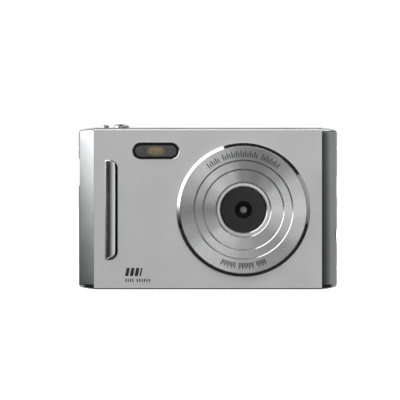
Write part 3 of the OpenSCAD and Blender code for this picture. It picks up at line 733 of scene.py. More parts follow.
@dataclass(frozen=True)
class Reflector(Finish):
    """Satin foil with a painted reflection of the lamp in front of it: its colour eases to the
    lamp's tone close to the lamp's middle.
    """

    lamp: Vector
    colour: Colour = (0.16, 0.16, 0.16)
    # Tone of the painted reflection of the lamp.
    painted_lamp_reflection: Colour = (0.5, 0.38, 0.18)
    crease: float = 1.3
    # Reach of the painted lamp reflection along X, Y and Z.
    reach: Colour = (3.6 * MM, 1.0, 1.9 * MM)
    roughness: tuple[float, float] = (0.3, 0.4)
    metallic: float = 0.7
    depth: float = 0.01 * MM

    def wire(self, graph: Graph, shader: bpy.types.Node) -> None:
        """Joins the finish's nodes to its shader.

        Args:
            graph: The material's graph.
            shader: Its Principled shader.
        """
        scale = tuple(1 / reach for reach in self.reach)
        offset = tuple(-place / reach for place, reach in zip(self.lamp, self.reach))
        away = graph.add("ShaderNodeMapping",
                         {"Vector": graph.place(), "Scale": scale, "Location": offset})
        reach = graph.add("ShaderNodeVectorMath", {0: away.outputs[0]},
                          operation="LENGTH").outputs["Value"]
        grain = GRAIN.put(graph, scale=3000.0, cloud_scale=700.0)
        creased = tuple(self.crease * c for c in self.colour)
        foil = graph.blend(graph.ease(grain["Cloud"], *MIDDLE_BAND), self.colour, creased)
        graph.fill(shader, {
            # Painted reflection of the lamp: the foil eases to the lamp's tone within its reach of
            # the lamp's middle.
            "Base Color": graph.blend(graph.ease(reach, 1.1, 0.75), foil, self.painted_lamp_reflection),
            "Roughness": graph.ease(grain["Height"], *MIDDLE_BAND, *self.roughness),
            "Metallic": self.metallic,
        })
        self.bump(graph, shader, grain["Height"], self.depth)


def middle(node: str) -> Vector:
    """Middle of a CAD node's box."""
    low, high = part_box(node)
    return (low + high) / 2


def half_width(node: str) -> float:
    """Half of a CAD node's width along X, which is a round node's radius."""
    low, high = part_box(node)
    return (high.x - low.x) / 2


LENS_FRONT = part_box("lens_outer_ring")[0].y
LENS_CENTRE = middle("lens_outer_ring")
# Painted sheen of the turned rings: the tone of their forward faces by clock angle, as a share of a
# full turn from twelve o'clock. Its light and dark sectors are painted reflections, not the metal's
# own colour.
RING_PAINTED_SHEEN = (
    (0.0, 0.36), (0.055, 0.29), (0.12, 0.42), (0.18, 0.74), (0.25, 0.89), (0.30, 0.74),
    (0.375, 0.46),
    (0.43, 0.47), (0.50, 0.59), (0.56, 0.78), (0.625, 0.83), (0.68, 0.53), (0.75, 0.36),
    (0.81, 0.60),
    (0.875, 0.84), (0.94, 0.68), (1.0, 0.36),
)

FINISHES: dict[str, Finish] = {
    "satin_silver": Metal("satin_silver_metal", (0.83, 0.83, 0.83), roughness=0.36, cloud=0.015,
                          smudge=0.04),
    "mirror_caps": Metal("mirror_plating", (0.66, 0.665, 0.67), roughness=0.11, grain=5000.0,
                         depth=0.001 * MM),
    "chrome": Metal("bright_chrome", (0.9, 0.9, 0.9), roughness=0.05, grain=5000.0,
                    depth=0.0005 * MM, cloud=0.01),
    # Turned ring metal whose forward faces carry the painted sheen by clock angle.
    "turned_metal": TurnedMetal("turned_ring_metal_painted_sheen", (LENS_CENTRE.x, LENS_CENTRE.z), RING_PAINTED_SHEEN, 0.3,
                                0.09),
    "black_gloss": Plastic("black_gloss_acrylic", (0.0025, 0.0025, 0.0025), (0.02, 0.02, 0.02),
                           roughness=0.05,
                           smudge=0.05, depth=0.0004 * MM),
    "black_plastic": Plastic("black_moulding", (0.012, 0.012, 0.012), (0.06, 0.06, 0.06),
                             roughness=0.45),
    "case_plastic": Plastic("grey_case_moulding", (0.16, 0.165, 0.17), (0.45, 0.45, 0.45),
                            roughness=0.38,
                            depth=0.02 * MM),
    "key_plastic": Plastic("painted_key", (0.4, 0.4, 0.41), (0.75, 0.75, 0.75), roughness=0.28,
                           coat=0.3),
    "optical_glass": Glass("coated_glass", (0.2, 0.2, 0.215), 0.0, 0.4, 0.06, 1.7),
    "clear_plastic": Glass("clear_moulding", (0.6, 0.6, 0.6), 1.0, 0.0, 0.16),
    "reflector": Reflector("reflector_foil", middle("flash_lamp")),
    # Painted glow: the flash lamp, which is not fired, is given a faint emission.
    "phosphor": Glow("flash_lamp_painted_glow", (0.7, 0.54, 0.27), 0.2),
    "silicon": Plastic("sensor_silicon", (0.02, 0.05, 0.06), (0.3, 0.3, 0.3), roughness=0.1,
                       coat=0.8),
    "circuit_board": CircuitBoard("circuit_board"),
    "screen": Printed("screen_layers", (0.02, 0.022, 0.03), (0.03, 0.034, 0.045), 0.4 * MM, 0.5,
                      0.2),
    "steel": Metal("brushed_steel", (0.55, 0.55, 0.56), roughness=0.28, brushed=True,
                   depth=0.006 * MM),
    "ribbon": Printed("ribbon_cable", (0.32, 0.14, 0.03), (0.55, 0.3, 0.08), 1.0 * MM, 0.5, 0.4,
                      False),
    "rubber": Plastic("soft_rubber", (0.015, 0.015, 0.016), (0.05, 0.05, 0.05), roughness=0.75,
                      depth=0.03 * MM),
    "battery_sleeve": Printed("battery_sleeve", (0.012, 0.03, 0.085), (0.42, 0.45, 0.5), 21 * MM,
                              0.22, 0.3),
    "gold": Metal("gold_plating", (0.86, 0.6, 0.22), (0.95, 0.75, 0.4), roughness=0.2),
    "brass": Metal("brass_insert", (0.72, 0.53, 0.24), (0.9, 0.72, 0.4), roughness=0.25,
                   brushed=True),
    "black_steel": Metal("blackened_steel", (0.05, 0.05, 0.052), (0.4, 0.4, 0.4), roughness=0.3),
}
# Painted shade: the bezel's colour is lighter at twelve o'clock and darker at six.
BEZEL_METAL = TurnedMetal("bezel_metal_painted_shade", (LENS_CENTRE.x, LENS_CENTRE.z),
                          ((0.0, 0.82), (0.5, 0.7), (1.0, 0.82)),
                          0.25, 0.05, 0.85)
INK = Plastic("dark_ink", (0.018, 0.018, 0.019), (0.06, 0.06, 0.06), roughness=0.4,
              depth=0.004 * MM)
PALE_INK = Plastic("pale_ink", (0.75, 0.76, 0.78), (0.9, 0.9, 0.9), roughness=0.4, depth=0.004 * MM)
ANODISED = Plastic("black_anodised", (0.004, 0.004, 0.004), (0.02, 0.02, 0.02), roughness=0.35,
                   specular=0.12,
                   depth=0.004 * MM)
# Painted shadow: near-black plate that stands in for the shade in the gap beside the grip bar.
SHADOW_GAP_PLATE = Plastic("painted_shadow_gap", (0.006, 0.006, 0.006), (0.02, 0.02, 0.02), roughness=0.8,
                      specular=0.05,
                      depth=0.01 * MM)
BUTTON_CHROME = Metal("button_chrome", (0.55, 0.55, 0.56), roughness=0.12, grain=5000.0,
                      depth=0.001 * MM)
FLASH_BORDER = Plastic("flash_border", (0.002, 0.002, 0.002), (0.02, 0.02, 0.02), roughness=0.14,
                       specular=0.22,
                       depth=0.002 * MM)
POLISHED_BAR = Metal("polished_bar", (0.98, 0.98, 0.985), roughness=0.12, grain=5000.0,
                     depth=0.001 * MM)
SCREEN_GLASS = Plastic("screen_glass", (0.012, 0.014, 0.019), (0.03, 0.03, 0.04), roughness=0.08,
                       specular=0.6,
                       depth=0.0004 * MM)
STATUS_GREEN = Glow("status_lamp_green", (0.1, 0.75, 0.25), 0.5, 0.2)


# ----------------------------------------------------------------------------------------------
# Bench work on meshes
# ----------------------------------------------------------------------------------------------


def runs_along_y(edge: bmesh.types.BMEdge) -> bool:
    """Says whether an edge runs along Y."""
    return abs((edge.verts[0].co - edge.verts[1].co).normalized().y) > NEARLY


class Bench:
    """Hand operations on one mesh at a time."""

    @staticmethod
    def clear() -> None:
        """Leaves edit mode and selects nothing."""
        if bpy.context.mode != "OBJECT":
            bpy.ops.object.mode_set(mode="OBJECT")
        bpy.ops.object.select_all(action="DESELECT")

    @staticmethod
    def take(piece: bpy.types.Object) -> None:
        """Makes one piece the active and only selected one.

        Args:
            piece: The piece.
        """
        Bench.clear()
        piece.select_set(True)
        bpy.context.view_layer.objects.active = piece

    @staticmethod
    def fresh(name: str) -> bpy.types.Object:
        """Names the object that was just added, and leaves it unturned and unscaled at the origin.

        Args:
            name: Name of the piece.

        Returns:
            The piece.
        """
        piece = bpy.context.active_object
        piece.name = piece.data.name = name
        bpy.ops.object.transform_apply(location=True, rotation=True, scale=True)
        return piece

    @staticmethod
    def edit(piece: bpy.types.Object) -> None:
        """Opens a piece in edit mode.

        Args:
            piece: The piece.
        """
        Bench.take(piece)
        bpy.ops.object.mode_set(mode="EDIT")
        bpy.ops.mesh.select_mode(type="VERT")

    @staticmethod
    def select(piece: bpy.types.Object, test: Callable[[Element], bool],
               kind: str = "VERT") -> None:
        """Selects the parts of an open mesh that pass a test.

        Args:
            piece: The piece, in edit mode.
            test: Says whether a vertex, an edge or a face is selected.
            kind: VERT, EDGE or FACE.
        """
        bpy.ops.mesh.select_mode(type=kind)
        bpy.ops.mesh.select_all(action="DESELECT")
        mesh = bmesh.from_edit_mesh(piece.data)
        for part in {"VERT": mesh.verts, "EDGE": mesh.edges, "FACE": mesh.faces}[kind]:
            if test(part):
                part.select = True
        mesh.select_flush_mode()
        bmesh.update_edit_mesh(piece.data)

    @staticmethod
    def close() -> None:
        """Merges the open piece's doubles, points its faces outwards and leaves edit mode."""
        bpy.ops.mesh.select_all(action="SELECT")
        bpy.ops.mesh.remove_doubles(threshold=1e-7)
        bpy.ops.mesh.normals_make_consistent(inside=False)
        bpy.ops.object.mode_set(mode="OBJECT")

    @staticmethod
    def modify(piece: bpy.types.Object, kind: str, **settings) -> None:
        """Adds a modifier and applies it.

        Args:
            piece: The piece.
            kind: Blender's type name of the modifier.
            settings: Attributes of the modifier.
        """
        Bench.take(piece)
        modifier = piece.modifiers.new(kind.lower(), kind)
        for name, value in settings.items():
            setattr(modifier, name, value)
        bpy.ops.object.modifier_apply(modifier=modifier.name)

    @staticmethod
    def round_edges(piece: bpy.types.Object, width: float, segments: int = 2,
                    sharp: float = 30.0) -> None:
        """Rounds the sharp edges and smooths the shading.

        Args:
            piece: The piece.
            width: Width of each rounding.
            segments: Number of its steps.
            sharp: Angle in degrees from which an edge counts as sharp.
        """
        if width:
            Bench.modify(piece, "BEVEL", width=width, segments=segments, limit_method="ANGLE",
                         angle_limit=math.radians(sharp), use_clamp_overlap=True)
        Bench.take(piece)
        bpy.ops.object.shade_smooth_by_angle(angle=math.radians(35.0), keep_sharp_edges=False)
        Bench.modify(piece, "WEIGHTED_NORMAL", keep_sharp=True)

    @staticmethod
    def copy_node(node: str, name: str) -> bpy.types.Object:
        """Copies a CAD node's mesh and merges its triangles into clean faces.

        Args:
            node: Name of the CAD node.
            name: Name of the new piece.

        Returns:
            The new piece.
        """
        piece = NODES[node].copy()
        piece.data = NODES[node].data.copy()
        piece.name = piece.data.name = name
        piece.parent = None
        piece.hide_render = piece.hide_viewport = False
        for key in list(piece.keys()):
            del piece[key]
        piece.data.materials.clear()
        bpy.context.scene.collection.objects.link(piece)
        Bench.take(piece)
        bpy.ops.mesh.customdata_custom_splitnormals_clear()
        Bench.edit(piece)
        bpy.ops.mesh.select_all(action="SELECT")
        bpy.ops.mesh.remove_doubles(threshold=2e-6)
        bpy.ops.mesh.dissolve_limited(angle_limit=math.radians(0.5))
        bpy.ops.object.mode_set(mode="OBJECT")
        return piece

    @staticmethod
    def turn(name: str, profile: Sequence[tuple[float, float]], centre: Vector, axis: Axis,
             steps: int = ROUND_STEPS) -> bpy.types.Object:
        """Turns a closed piece about an axis, as on a lathe.

        Args:
            name: Name of the piece.
            profile: Radius and level of each point. A radius of 0 at an end closes it at a pole.
            centre: A point on the axis.
            axis: Direction of the axis.
            steps: Number of flats around it.

        Returns:
            The new piece.
        """
        pole = profile[0][0] == 0
        radius, level = profile[1] if pole else profile[0]
        Bench.clear()
        bpy.ops.mesh.primitive_circle_add(
            vertices=steps, radius=radius, fill_type="TRIFAN" if pole else "NOTHING",
            location=axis.place(centre, level), rotation=axis.lean,
        )
        piece = Bench.fresh(name)
        Bench.edit(piece)
        hub = axis.place(centre, level)
        if pole:
            Bench.select(piece, lambda v: (v.co - hub).length < radius / 2)
            bpy.ops.transform.translate(value=axis.along(profile[0][1] - level))
            Bench.select(piece, lambda v: (v.co - hub).length > radius * 0.99)
        else:
            bpy.ops.mesh.select_all(action="SELECT")
        for new_radius, new_level in profile[2 if pole else 1:]:
            move = axis.along(new_level - level)
            bpy.ops.mesh.extrude_edges_move(TRANSFORM_OT_translate={"value": move})
            if new_radius == 0:
                bpy.ops.mesh.merge(type="CENTER")
            elif new_radius != radius:
                bpy.ops.transform.resize(value=axis.across(new_radius / radius),
                                         center_override=axis.place(centre, new_level))
            radius, level = new_radius, new_level
        if not pole and profile[-1][0] != 0:
            Bench.select(piece, lambda e: e.is_boundary, "EDGE")
            bpy.ops.mesh.bridge_edge_loops()
        elif not pole or profile[-1][0] != 0:
            Bench.select(piece, lambda e: e.is_boundary, "EDGE")
            bpy.ops.mesh.edge_face_add()
        Bench.close()
        return piece

    @staticmethod
    def bar(name: str, centre: Vector, size: Vector, round_r: float = 0.0, lean: float = 0.0,
            steps: int = 3) -> bpy.types.Object:
        """Makes a small bar with softened corners.

        Args:
            name: Name of the piece.
            centre: Its middle.
            size: Its size along X, Y and Z.
            round_r: Radius of the corners that run along Y.
            lean: How far its upper end is shifted along X.
            steps: Number of steps of each round corner.

        Returns:
            The new piece.
        """
        Bench.clear()
        bpy.ops.mesh.primitive_cube_add(size=1.0, location=centre, scale=size)
        piece = Bench.fresh(name)
        Bench.edit(piece)
        if lean:
            Bench.select(piece, lambda v: v.co.z > centre.z)
            bpy.ops.transform.translate(value=(lean, 0, 0))
        if round_r:
            Bench.select(piece, runs_along_y, "EDGE")
            bpy.ops.mesh.bevel(offset=round_r, segments=steps)
        Bench.close()
        return piece

    @staticmethod
    def repeat(piece: bpy.types.Object, moves: Sequence[Matrix]) -> bpy.types.Object:
        """Copies a piece to several places and joins the copies into one piece.

        Args:
            piece: The piece to copy. It is used up.
            moves: One transform for each copy.

        Returns:
            The joined piece, under the same name.
        """
        name = piece.name
        copies = []
        for i, move in enumerate(moves):
            twin = piece.copy()
            twin.data = piece.data.copy()
            twin.name = f"{name}.{i:03d}"
            twin.data.transform(move)
            bpy.context.scene.collection.objects.link(twin)
            copies.append(twin)
        bpy.data.objects.remove(piece)
        return Bench.join(name, copies)

    @staticmethod
    def join(name: str, pieces: Sequence[bpy.types.Object]) -> bpy.types.Object:
        """Joins several pieces into one.

        Args:
            name: Name of the joined piece.
            pieces: The pieces. They are used up.

        Returns:
            The joined piece.
        """
        Bench.take(pieces[0])
        for piece in pieces:
            piece.select_set(True)
        if len(pieces) > 1:
            bpy.ops.object.join()
        whole = bpy.context.active_object
        whole.name = whole.data.name = name
        return whole

    @staticmethod
    def cut(piece: bpy.types.Object, tool: bpy.types.Object) -> None:
        """Cuts a tool's shape out of a piece. The tool is used up."""
        Bench.modify(piece, "BOOLEAN", object=tool, operation="DIFFERENCE", solver="EXACT")
        bpy.data.objects.remove(tool)


def shift(x: float = 0.0, y: float = 0.0, z: float = 0.0) -> Matrix:
    """A move, as a matrix."""
    return Matrix.Translation((x, y, z))


def swing(angle: float, centre: Vector) -> Matrix:
    """A turn about an axis along Y through a point."""
    turn = Matrix.Rotation(math.radians(angle), 4, "Y")
    return Matrix.Translation(centre) @ turn @ Matrix.Translation(-centre)


# ----------------------------------------------------------------------------------------------
# Sub-assemblies
# ----------------------------------------------------------------------------------------------


class SubAssembly:
    """Shared steps of every sub-assembly."""

    def dress(self, *nodes: str) -> None:
        """Gives CAD nodes the finish of their material slot.

        Args:
            nodes: Names of the CAD nodes.
        """
        for node in nodes:
            mesh = NODES[node].data
            mesh.materials.clear()
            mesh.materials.append(FINISHES[SLOT_OF[node]].material())
            log.info("dressed %s", node)

    def keep(self, piece: bpy.types.Object, node: str, finish: Finish | None = None,
             replaces: bool = False) -> None:
        """Finishes a piece that belongs to a CAD node: gives it its material and its body, and
        hides the node if the piece replaces it.

        Args:
            piece: The piece.
            node: The CAD node that it replaces or sits on.
            finish: Its finish, if not the node's own.
            replaces: Whether it stands for the node.
        """
        piece.data.materials.clear()
        piece.data.materials.append((finish or FINISHES[SLOT_OF[node]]).material())
        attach(piece, BODY_OF[node])
        if replaces:
            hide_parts(node)
        log.info("made %s on %s with %d faces", piece.name, BODY_OF[node], len(piece.data.polygons))

    def soften(self, node: str, width: float, segments: int = 2,
               finish: Finish | None = None) -> None:
        """Replaces a CAD node by a copy with softened edges.

        Args:
            node: Name of the CAD node.
            width: Width of the rounding.
            segments: Steps of the rounding.
            finish: Its finish, if not the node's own.
        """
        piece = Bench.copy_node(node, f"{node}_soft_edged")
        Bench.round_edges(piece, width, segments)
        self.keep(piece, node, finish, replaces=True)


@dataclass
class Case(SubAssembly):
    """The shells, the front panel, the top cover, the mirror caps and their screws."""

    edge: float = 0.12 * MM
    cover_edge: float = 0.08 * MM
    screw_edge: float = 0.06 * MM
    strap_bar_edge: float = 0.2 * MM
    panel_edge: float = 0.1 * MM
    flash_slope: float = 0.05 * MM
    top_crease: float = 0.7 * MM
    top_roll: float = 0.3 * MM
    mark_t: float = 0.012 * MM
    mark_x: float = 11.4 * MM
    mark_z: float = 4.9 * MM
    bar_h: float = 3.0 * MM
    bar_lean: float = 0.6 * MM
    cap_edge: float = 0.1 * MM
    cap_margin: float = 0.6 * MM
    screw_head: float = 2.8 * MM

    def build(self) -> None:
        """Builds the case."""
        self.front_panel()
        for node in ("front_shell", "rear_shell"):
            self.soften(node, self.edge)
        self.soften("top_cover", self.cover_edge)
        self.end_cap("end_cap_left", "strap_bar")
        self.end_cap("end_cap_right", "usb_port", "memory_card")
        self.soften("case_screws", self.screw_edge)
        self.soften("strap_bar", self.strap_bar_edge, 3)
        self.panel_marks()
        self.power_mark()

    def end_cap(self, node: str, *through: str) -> None:
        """Softens an end cap, whose long faces are first cut above and below each opening.

        Without the cuts the mirror finish smears from the openings along the faces.

        Args:
            node: Name of the cap.
            through: CAD nodes that its openings are for.
        """
        cap = Bench.copy_node(node, f"{node}_soft_edged")
        low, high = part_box("case_screws")
        head = self.screw_head
        spans = [(low.z, low.z + head), (high.z - head, high.z)]
        spans += [(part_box(name)[0].z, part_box(name)[1].z) for name in through]
        Bench.edit(cap)
        for start, end in spans:
            for level in (start - self.cap_margin, end + self.cap_margin):
                bpy.ops.mesh.select_all(action="SELECT")
                bpy.ops.mesh.bisect(plane_co=(0, 0, level), plane_no=(0, 0, 1))
        bpy.ops.object.mode_set(mode="OBJECT")
        Bench.round_edges(cap, self.cap_edge)
        self.keep(cap, node, replaces=True)

    def front_panel(self) -> None:
        """Softens the front panel, with slopes around the flash opening and a roll at the top."""
        panel = Bench.copy_node("front_panel", "front_panel_soft_edged")
        low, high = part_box("front_panel")
        flash_low, flash_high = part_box("flash_bezel")
        margin, crease = 4 * GAP, high.z - self.top_crease
        Bench.edit(panel)
        for left, right, base, top, offset, segments in (
            (flash_low.x - margin, flash_high.x + margin, flash_low.z - margin,
             flash_high.z + margin, self.flash_slope, 3),
            (low.x - GAP, high.x + GAP, crease - GAP, crease + GAP, self.top_roll, 4),
        ):
            Bench.select(panel, lambda e: all(
                abs(v.co.y - low.y) < GAP and left < v.co.x < right and base < v.co.z < top
                for v in e.verts), "EDGE")
            bpy.ops.mesh.bevel(offset=offset, segments=segments, clamp_overlap=False)
        bpy.ops.object.mode_set(mode="OBJECT")
        Bench.round_edges(panel, self.panel_edge)
        self.keep(panel, "front_panel", replaces=True)

    def panel_marks(self) -> None:
        """Adds the slanted bars and the row of ticks at the panel's lower left."""
        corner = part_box("front_panel")[0] + Vector((self.mark_x, self.mark_t / 2, self.mark_z))
        thick = 2 * self.mark_t
        bars = []
        for x, width in ((0.0, 1.2), (1.75, 1.2), (3.5, 1.2), (5.25, 0.6)):
            centre = corner + Vector(((x + width / 2) * MM, 0, self.bar_h / 2))
            size = Vector((width * MM, thick, self.bar_h))
            bars.append(Bench.bar("panel_bar", centre, size, 0.2 * MM, self.bar_lean))
        self.keep(Bench.join("panel_bars", bars), "front_panel", INK)
        tick = Bench.bar("panel_ticks", corner + Vector((0.3 * MM, 0, -1.55 * MM)),
                         Vector((0.42 * MM, thick, 1.15 * MM)), 0.1 * MM)
        spots = [i * 0.86 * MM for i in range(4)] + [(4.2 + i * 0.9) * MM for i in range(6)]
        self.keep(Bench.repeat(tick, [shift(x) for x in spots]), "front_panel", INK)

    def power_mark(self) -> None:
        """Adds a small tick beside the power button on the top cover."""
        front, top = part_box("power_button")[0].y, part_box("top_cover")[1].z
        centre = Vector((middle("power_button").x, front - 1.6 * MM, top))
        tick = Bench.bar("power_tick", centre, Vector((0.3 * MM, 1.0 * MM, 2 * self.mark_t)))
        self.keep(tick, "top_cover", INK)


@dataclass
class LensFront(SubAssembly):
    """The chrome ring, the stepped turned rings, the dark window and the barrel."""

    drop: float = 0.45 * MM
    edge: float = 0.035 * MM
    trim_flat: float = 0.1 * MM
    trim_edge: float = 0.05 * MM
    stop_r: float = 1.36 * MM
    traps: int = 3
    sag: float = 0.35 * MM
    dome_steps: int = 8
    mark_inset: float = 0.015 * MM
    tick_w: float = 0.36 * MM
    tall_tick: float = 2.3 * MM
    short_tick: float = 1.6 * MM
    upper_groups: tuple[int, ...] = (6, 16, 9)
    lower_groups: tuple[int, ...] = (6, 9, 9)
    space: float = 1.5

    def build(self) -> None:
        """Builds the front of the lens."""
        rings = ("lens_outer_ring", "lens_middle_ring", "lens_inner_ring", "lens_bezel")
        for ring, inner in zip(rings, rings[1:] + ("lens_window",)):
            self.stepped_ring(ring, inner)
        self.trim_ring()
        self.window()
        self.barrel()
        self.front_glass()
        self.ring_marks()
        self.dress("lens_housing", "lens_rear_element", "lens_mount", "infrared_filter",
                   "image_sensor",
                   "sensor_board")

    def stepped_ring(self, node: str, inner: str) -> None:
        """Turns a flat ring with a slope down to the next ring.

        Args:
            node: The ring.
            inner: The next ring towards the middle.
        """
        low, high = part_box(node)
        outer_r, inner_r = half_width(node), half_width(inner) + GAP
        front = low.y + (self.mark_inset if node == "lens_outer_ring" else 0.0)
        profile = [(outer_r, high.y), (outer_r, front), (inner_r + self.drop, front),
                   (inner_r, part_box(inner)[0].y), (inner_r, high.y)]
        ring = Bench.turn(f"{node}_turned", profile, LENS_CENTRE, Axis.Y)
        Bench.round_edges(ring, self.edge)
        self.keep(ring, node, BEZEL_METAL if node == "lens_bezel" else None, replaces=True)

    def trim_ring(self) -> None:
        """Turns the chrome ring with its outer slope."""
        low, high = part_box("lens_trim_ring")
        outer_r, inner_r = half_width("lens_trim_ring"), half_width("lens_outer_ring") + GAP
        slope = outer_r - inner_r - self.trim_flat
        profile = [(inner_r, high.y), (outer_r, high.y), (outer_r, low.y + slope),
                   (outer_r - slope, low.y),
                   (inner_r, low.y)]
        ring = Bench.turn("lens_trim_ring_turned", profile, LENS_CENTRE, Axis.Y, 2 * ROUND_STEPS)
        Bench.round_edges(ring, self.trim_edge)
        self.keep(ring, "lens_trim_ring", replaces=True)

    def window(self) -> None:
        """Turns the dark window with a rounded outer edge."""
        low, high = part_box("lens_window")
        outer_r, hole_r = half_width("lens_window"), half_width("lens_barrel") + GAP
        profile = [(hole_r, high.y), (outer_r, high.y), (outer_r, low.y + 0.2 * MM),
                   (outer_r - 0.35 * MM, low.y), (hole_r + 0.1 * MM, low.y),
                   (hole_r, low.y + 0.1 * MM)]
        disc = Bench.turn("lens_window_turned", profile, LENS_CENTRE, Axis.Y)
        Bench.round_edges(disc, self.edge)
        self.keep(disc, "lens_window", replaces=True)

    def barrel(self) -> None:
        """Turns the barrel with light traps that step down its mouth to the stop."""
        low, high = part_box("lens_barrel")
        outer_r = half_width("lens_barrel")
        mouth_r, bore_r = outer_r - 0.5 * MM, outer_r - 0.8 * MM
        stop_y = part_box("lens_front_element")[0].y - GAP
        profile = [(outer_r, high.y), (outer_r, low.y), (mouth_r, low.y)]
        for i in range(1, self.traps + 1):
            radius = mouth_r + (self.stop_r - mouth_r) * i / self.traps
            level = low.y + (stop_y - 0.3 * MM - low.y) * i / self.traps
            profile += [(profile[-1][0], level), (radius, level)]
        profile += [(self.stop_r, stop_y), (bore_r, stop_y), (bore_r, high.y)]
        tube = Bench.turn("lens_barrel_turned", profile, LENS_CENTRE, Axis.Y, 96)
        Bench.round_edges(tube, 0.04 * MM)
        self.keep(tube, "lens_barrel", ANODISED, replaces=True)

    def front_glass(self) -> None:
        """Turns the front element with two domed faces."""
        low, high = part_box("lens_front_element")
        edge_r = half_width("lens_front_element")
        parts = [i / self.dome_steps for i in range(self.dome_steps + 1)]
        front = [(edge_r * part, low.y + self.sag * part**2) for part in parts]
        back = [(edge_r * part, high.y - self.sag * part**2) for part in reversed(parts)]
        glass = Bench.turn("lens_front_element_turned", front + back, LENS_CENTRE, Axis.Y, 64)
        Bench.round_edges(glass, 0.0)
        self.keep(glass, "lens_front_element", replaces=True)

    def ring_marks(self) -> None:
        """Adds two arcs of ticks on the outer ring."""
        ticks = []
        for groups, radius, pitch, middle_turn in (
            (self.upper_groups, 20.5 * MM, 2.35, 0.0), (self.lower_groups, 20.6 * MM, 1.75, 180.0),
        ):
            turn = middle_turn - pitch * (sum(groups) + self.space * (len(groups) - 1) - 1) / 2
            for group in groups:
                for i in range(group):
                    height = self.short_tick if i % 2 else self.tall_tick
                    up = radius + (height - self.tall_tick) / 2
                    centre = Vector((LENS_CENTRE.x, LENS_FRONT + self.mark_inset,
                                     LENS_CENTRE.z + up))
                    size = Vector((self.tick_w, 2 * self.mark_inset, height))
                    ticks.append(Bench.bar("tick", centre, size, 0.08 * MM))
                    ticks[-1].data.transform(swing(turn, LENS_CENTRE))
                    turn += pitch
                turn += self.space * pitch
        self.keep(Bench.join("ring_ticks", ticks), "lens_outer_ring", INK)


@dataclass
class Flash(SubAssembly):
    """The stadium-shaped flash: border, ribbed window, reflector and lamp."""

    rib_pitch: float = 0.42 * MM
    rib_depth: float = 0.12 * MM
    rim_w: float = 0.26 * MM
    rim_slope: float = 0.2 * MM
    rim_proud: float = 0.62 * MM

    def build(self) -> None:
        """Builds the flash."""
        self.soften("flash_bezel", 0.12 * MM, 3, finish=FLASH_BORDER)
        self.rim()
        self.window()
        self.soften("flash_reflector", 0.04 * MM)
        self.soften("flash_lamp", 0.1 * MM)
        self.dress("flash_board")

    def rim(self) -> None:
        """Adds a thin polished rim around the border, with a slope on its inner side."""
        low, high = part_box("flash_bezel")
        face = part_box("front_panel")[0].y
        spot = (low + high) / 2
        spot.y = face - self.rim_proud / 2
        wide = self.rim_w + GAP
        size = Vector((high.x - low.x + 2 * wide, self.rim_proud, high.z - low.z + 2 * wide))
        rim = Bench.bar("flash_rim", spot, size, size.z / 2 - 0.01 * MM, steps=20)
        Bench.edit(rim)
        Bench.select(rim, lambda f: abs(f.normal.y) > 0.9, "FACE")
        bpy.ops.mesh.inset(thickness=self.rim_w - self.rim_slope, depth=0)
        bpy.ops.mesh.inset(thickness=self.rim_slope, depth=0)
        bpy.ops.mesh.bridge_edge_loops()
        inner = high.z - spot.z + 1.5 * GAP
        Bench.select(rim,
                     lambda v: v.co.y < face - self.rim_proud / 2 and self.within(v.co - spot, size,
                                                                                  inner))
        bpy.ops.transform.translate(value=(0, 0.8 * self.rim_slope, 0))
        Bench.close()
        Bench.round_edges(rim, 0.02 * MM)
        self.keep(rim, "front_panel", POLISHED_BAR)

    @staticmethod
    def within(offset: Vector, size: Vector, radius: float) -> bool:
        """Says whether a point lies inside a stadium.

        Args:
            offset: The point from the stadium's middle.
            size: Size of the rim's outline, which shares the stadium's two centres.
            radius: Radius of the stadium's ends.

        Returns:
            True inside it.
        """
        half = (size.x - size.z) / 2
        reach = Vector((max(0.0, abs(offset.x) - half), offset.z))
        return reach.length < radius

    def window(self) -> None:
        """Cuts ribs along the inside of the clear window."""
        window = Bench.copy_node("flash_window", "flash_window_ribbed")
        low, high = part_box("flash_window")
        centre = middle("flash_window")
        count = int((high.x - low.x) / self.rib_pitch)
        start = centre.x - (count - 1) / 2 * self.rib_pitch
        Bench.clear()
        bpy.ops.mesh.primitive_cylinder_add(
            vertices=4, radius=self.rib_depth * math.sqrt(2), depth=1.5 * (high.z - low.z),
            location=(start, high.y, centre.z), rotation=(0, 0, math.pi / 4))
        grooves = Bench.repeat(Bench.fresh("groove"),
                               [shift(i * self.rib_pitch) for i in range(count)])
        Bench.cut(window, grooves)
        Bench.round_edges(window, 0.0)
        self.keep(window, "flash_window", replaces=True)


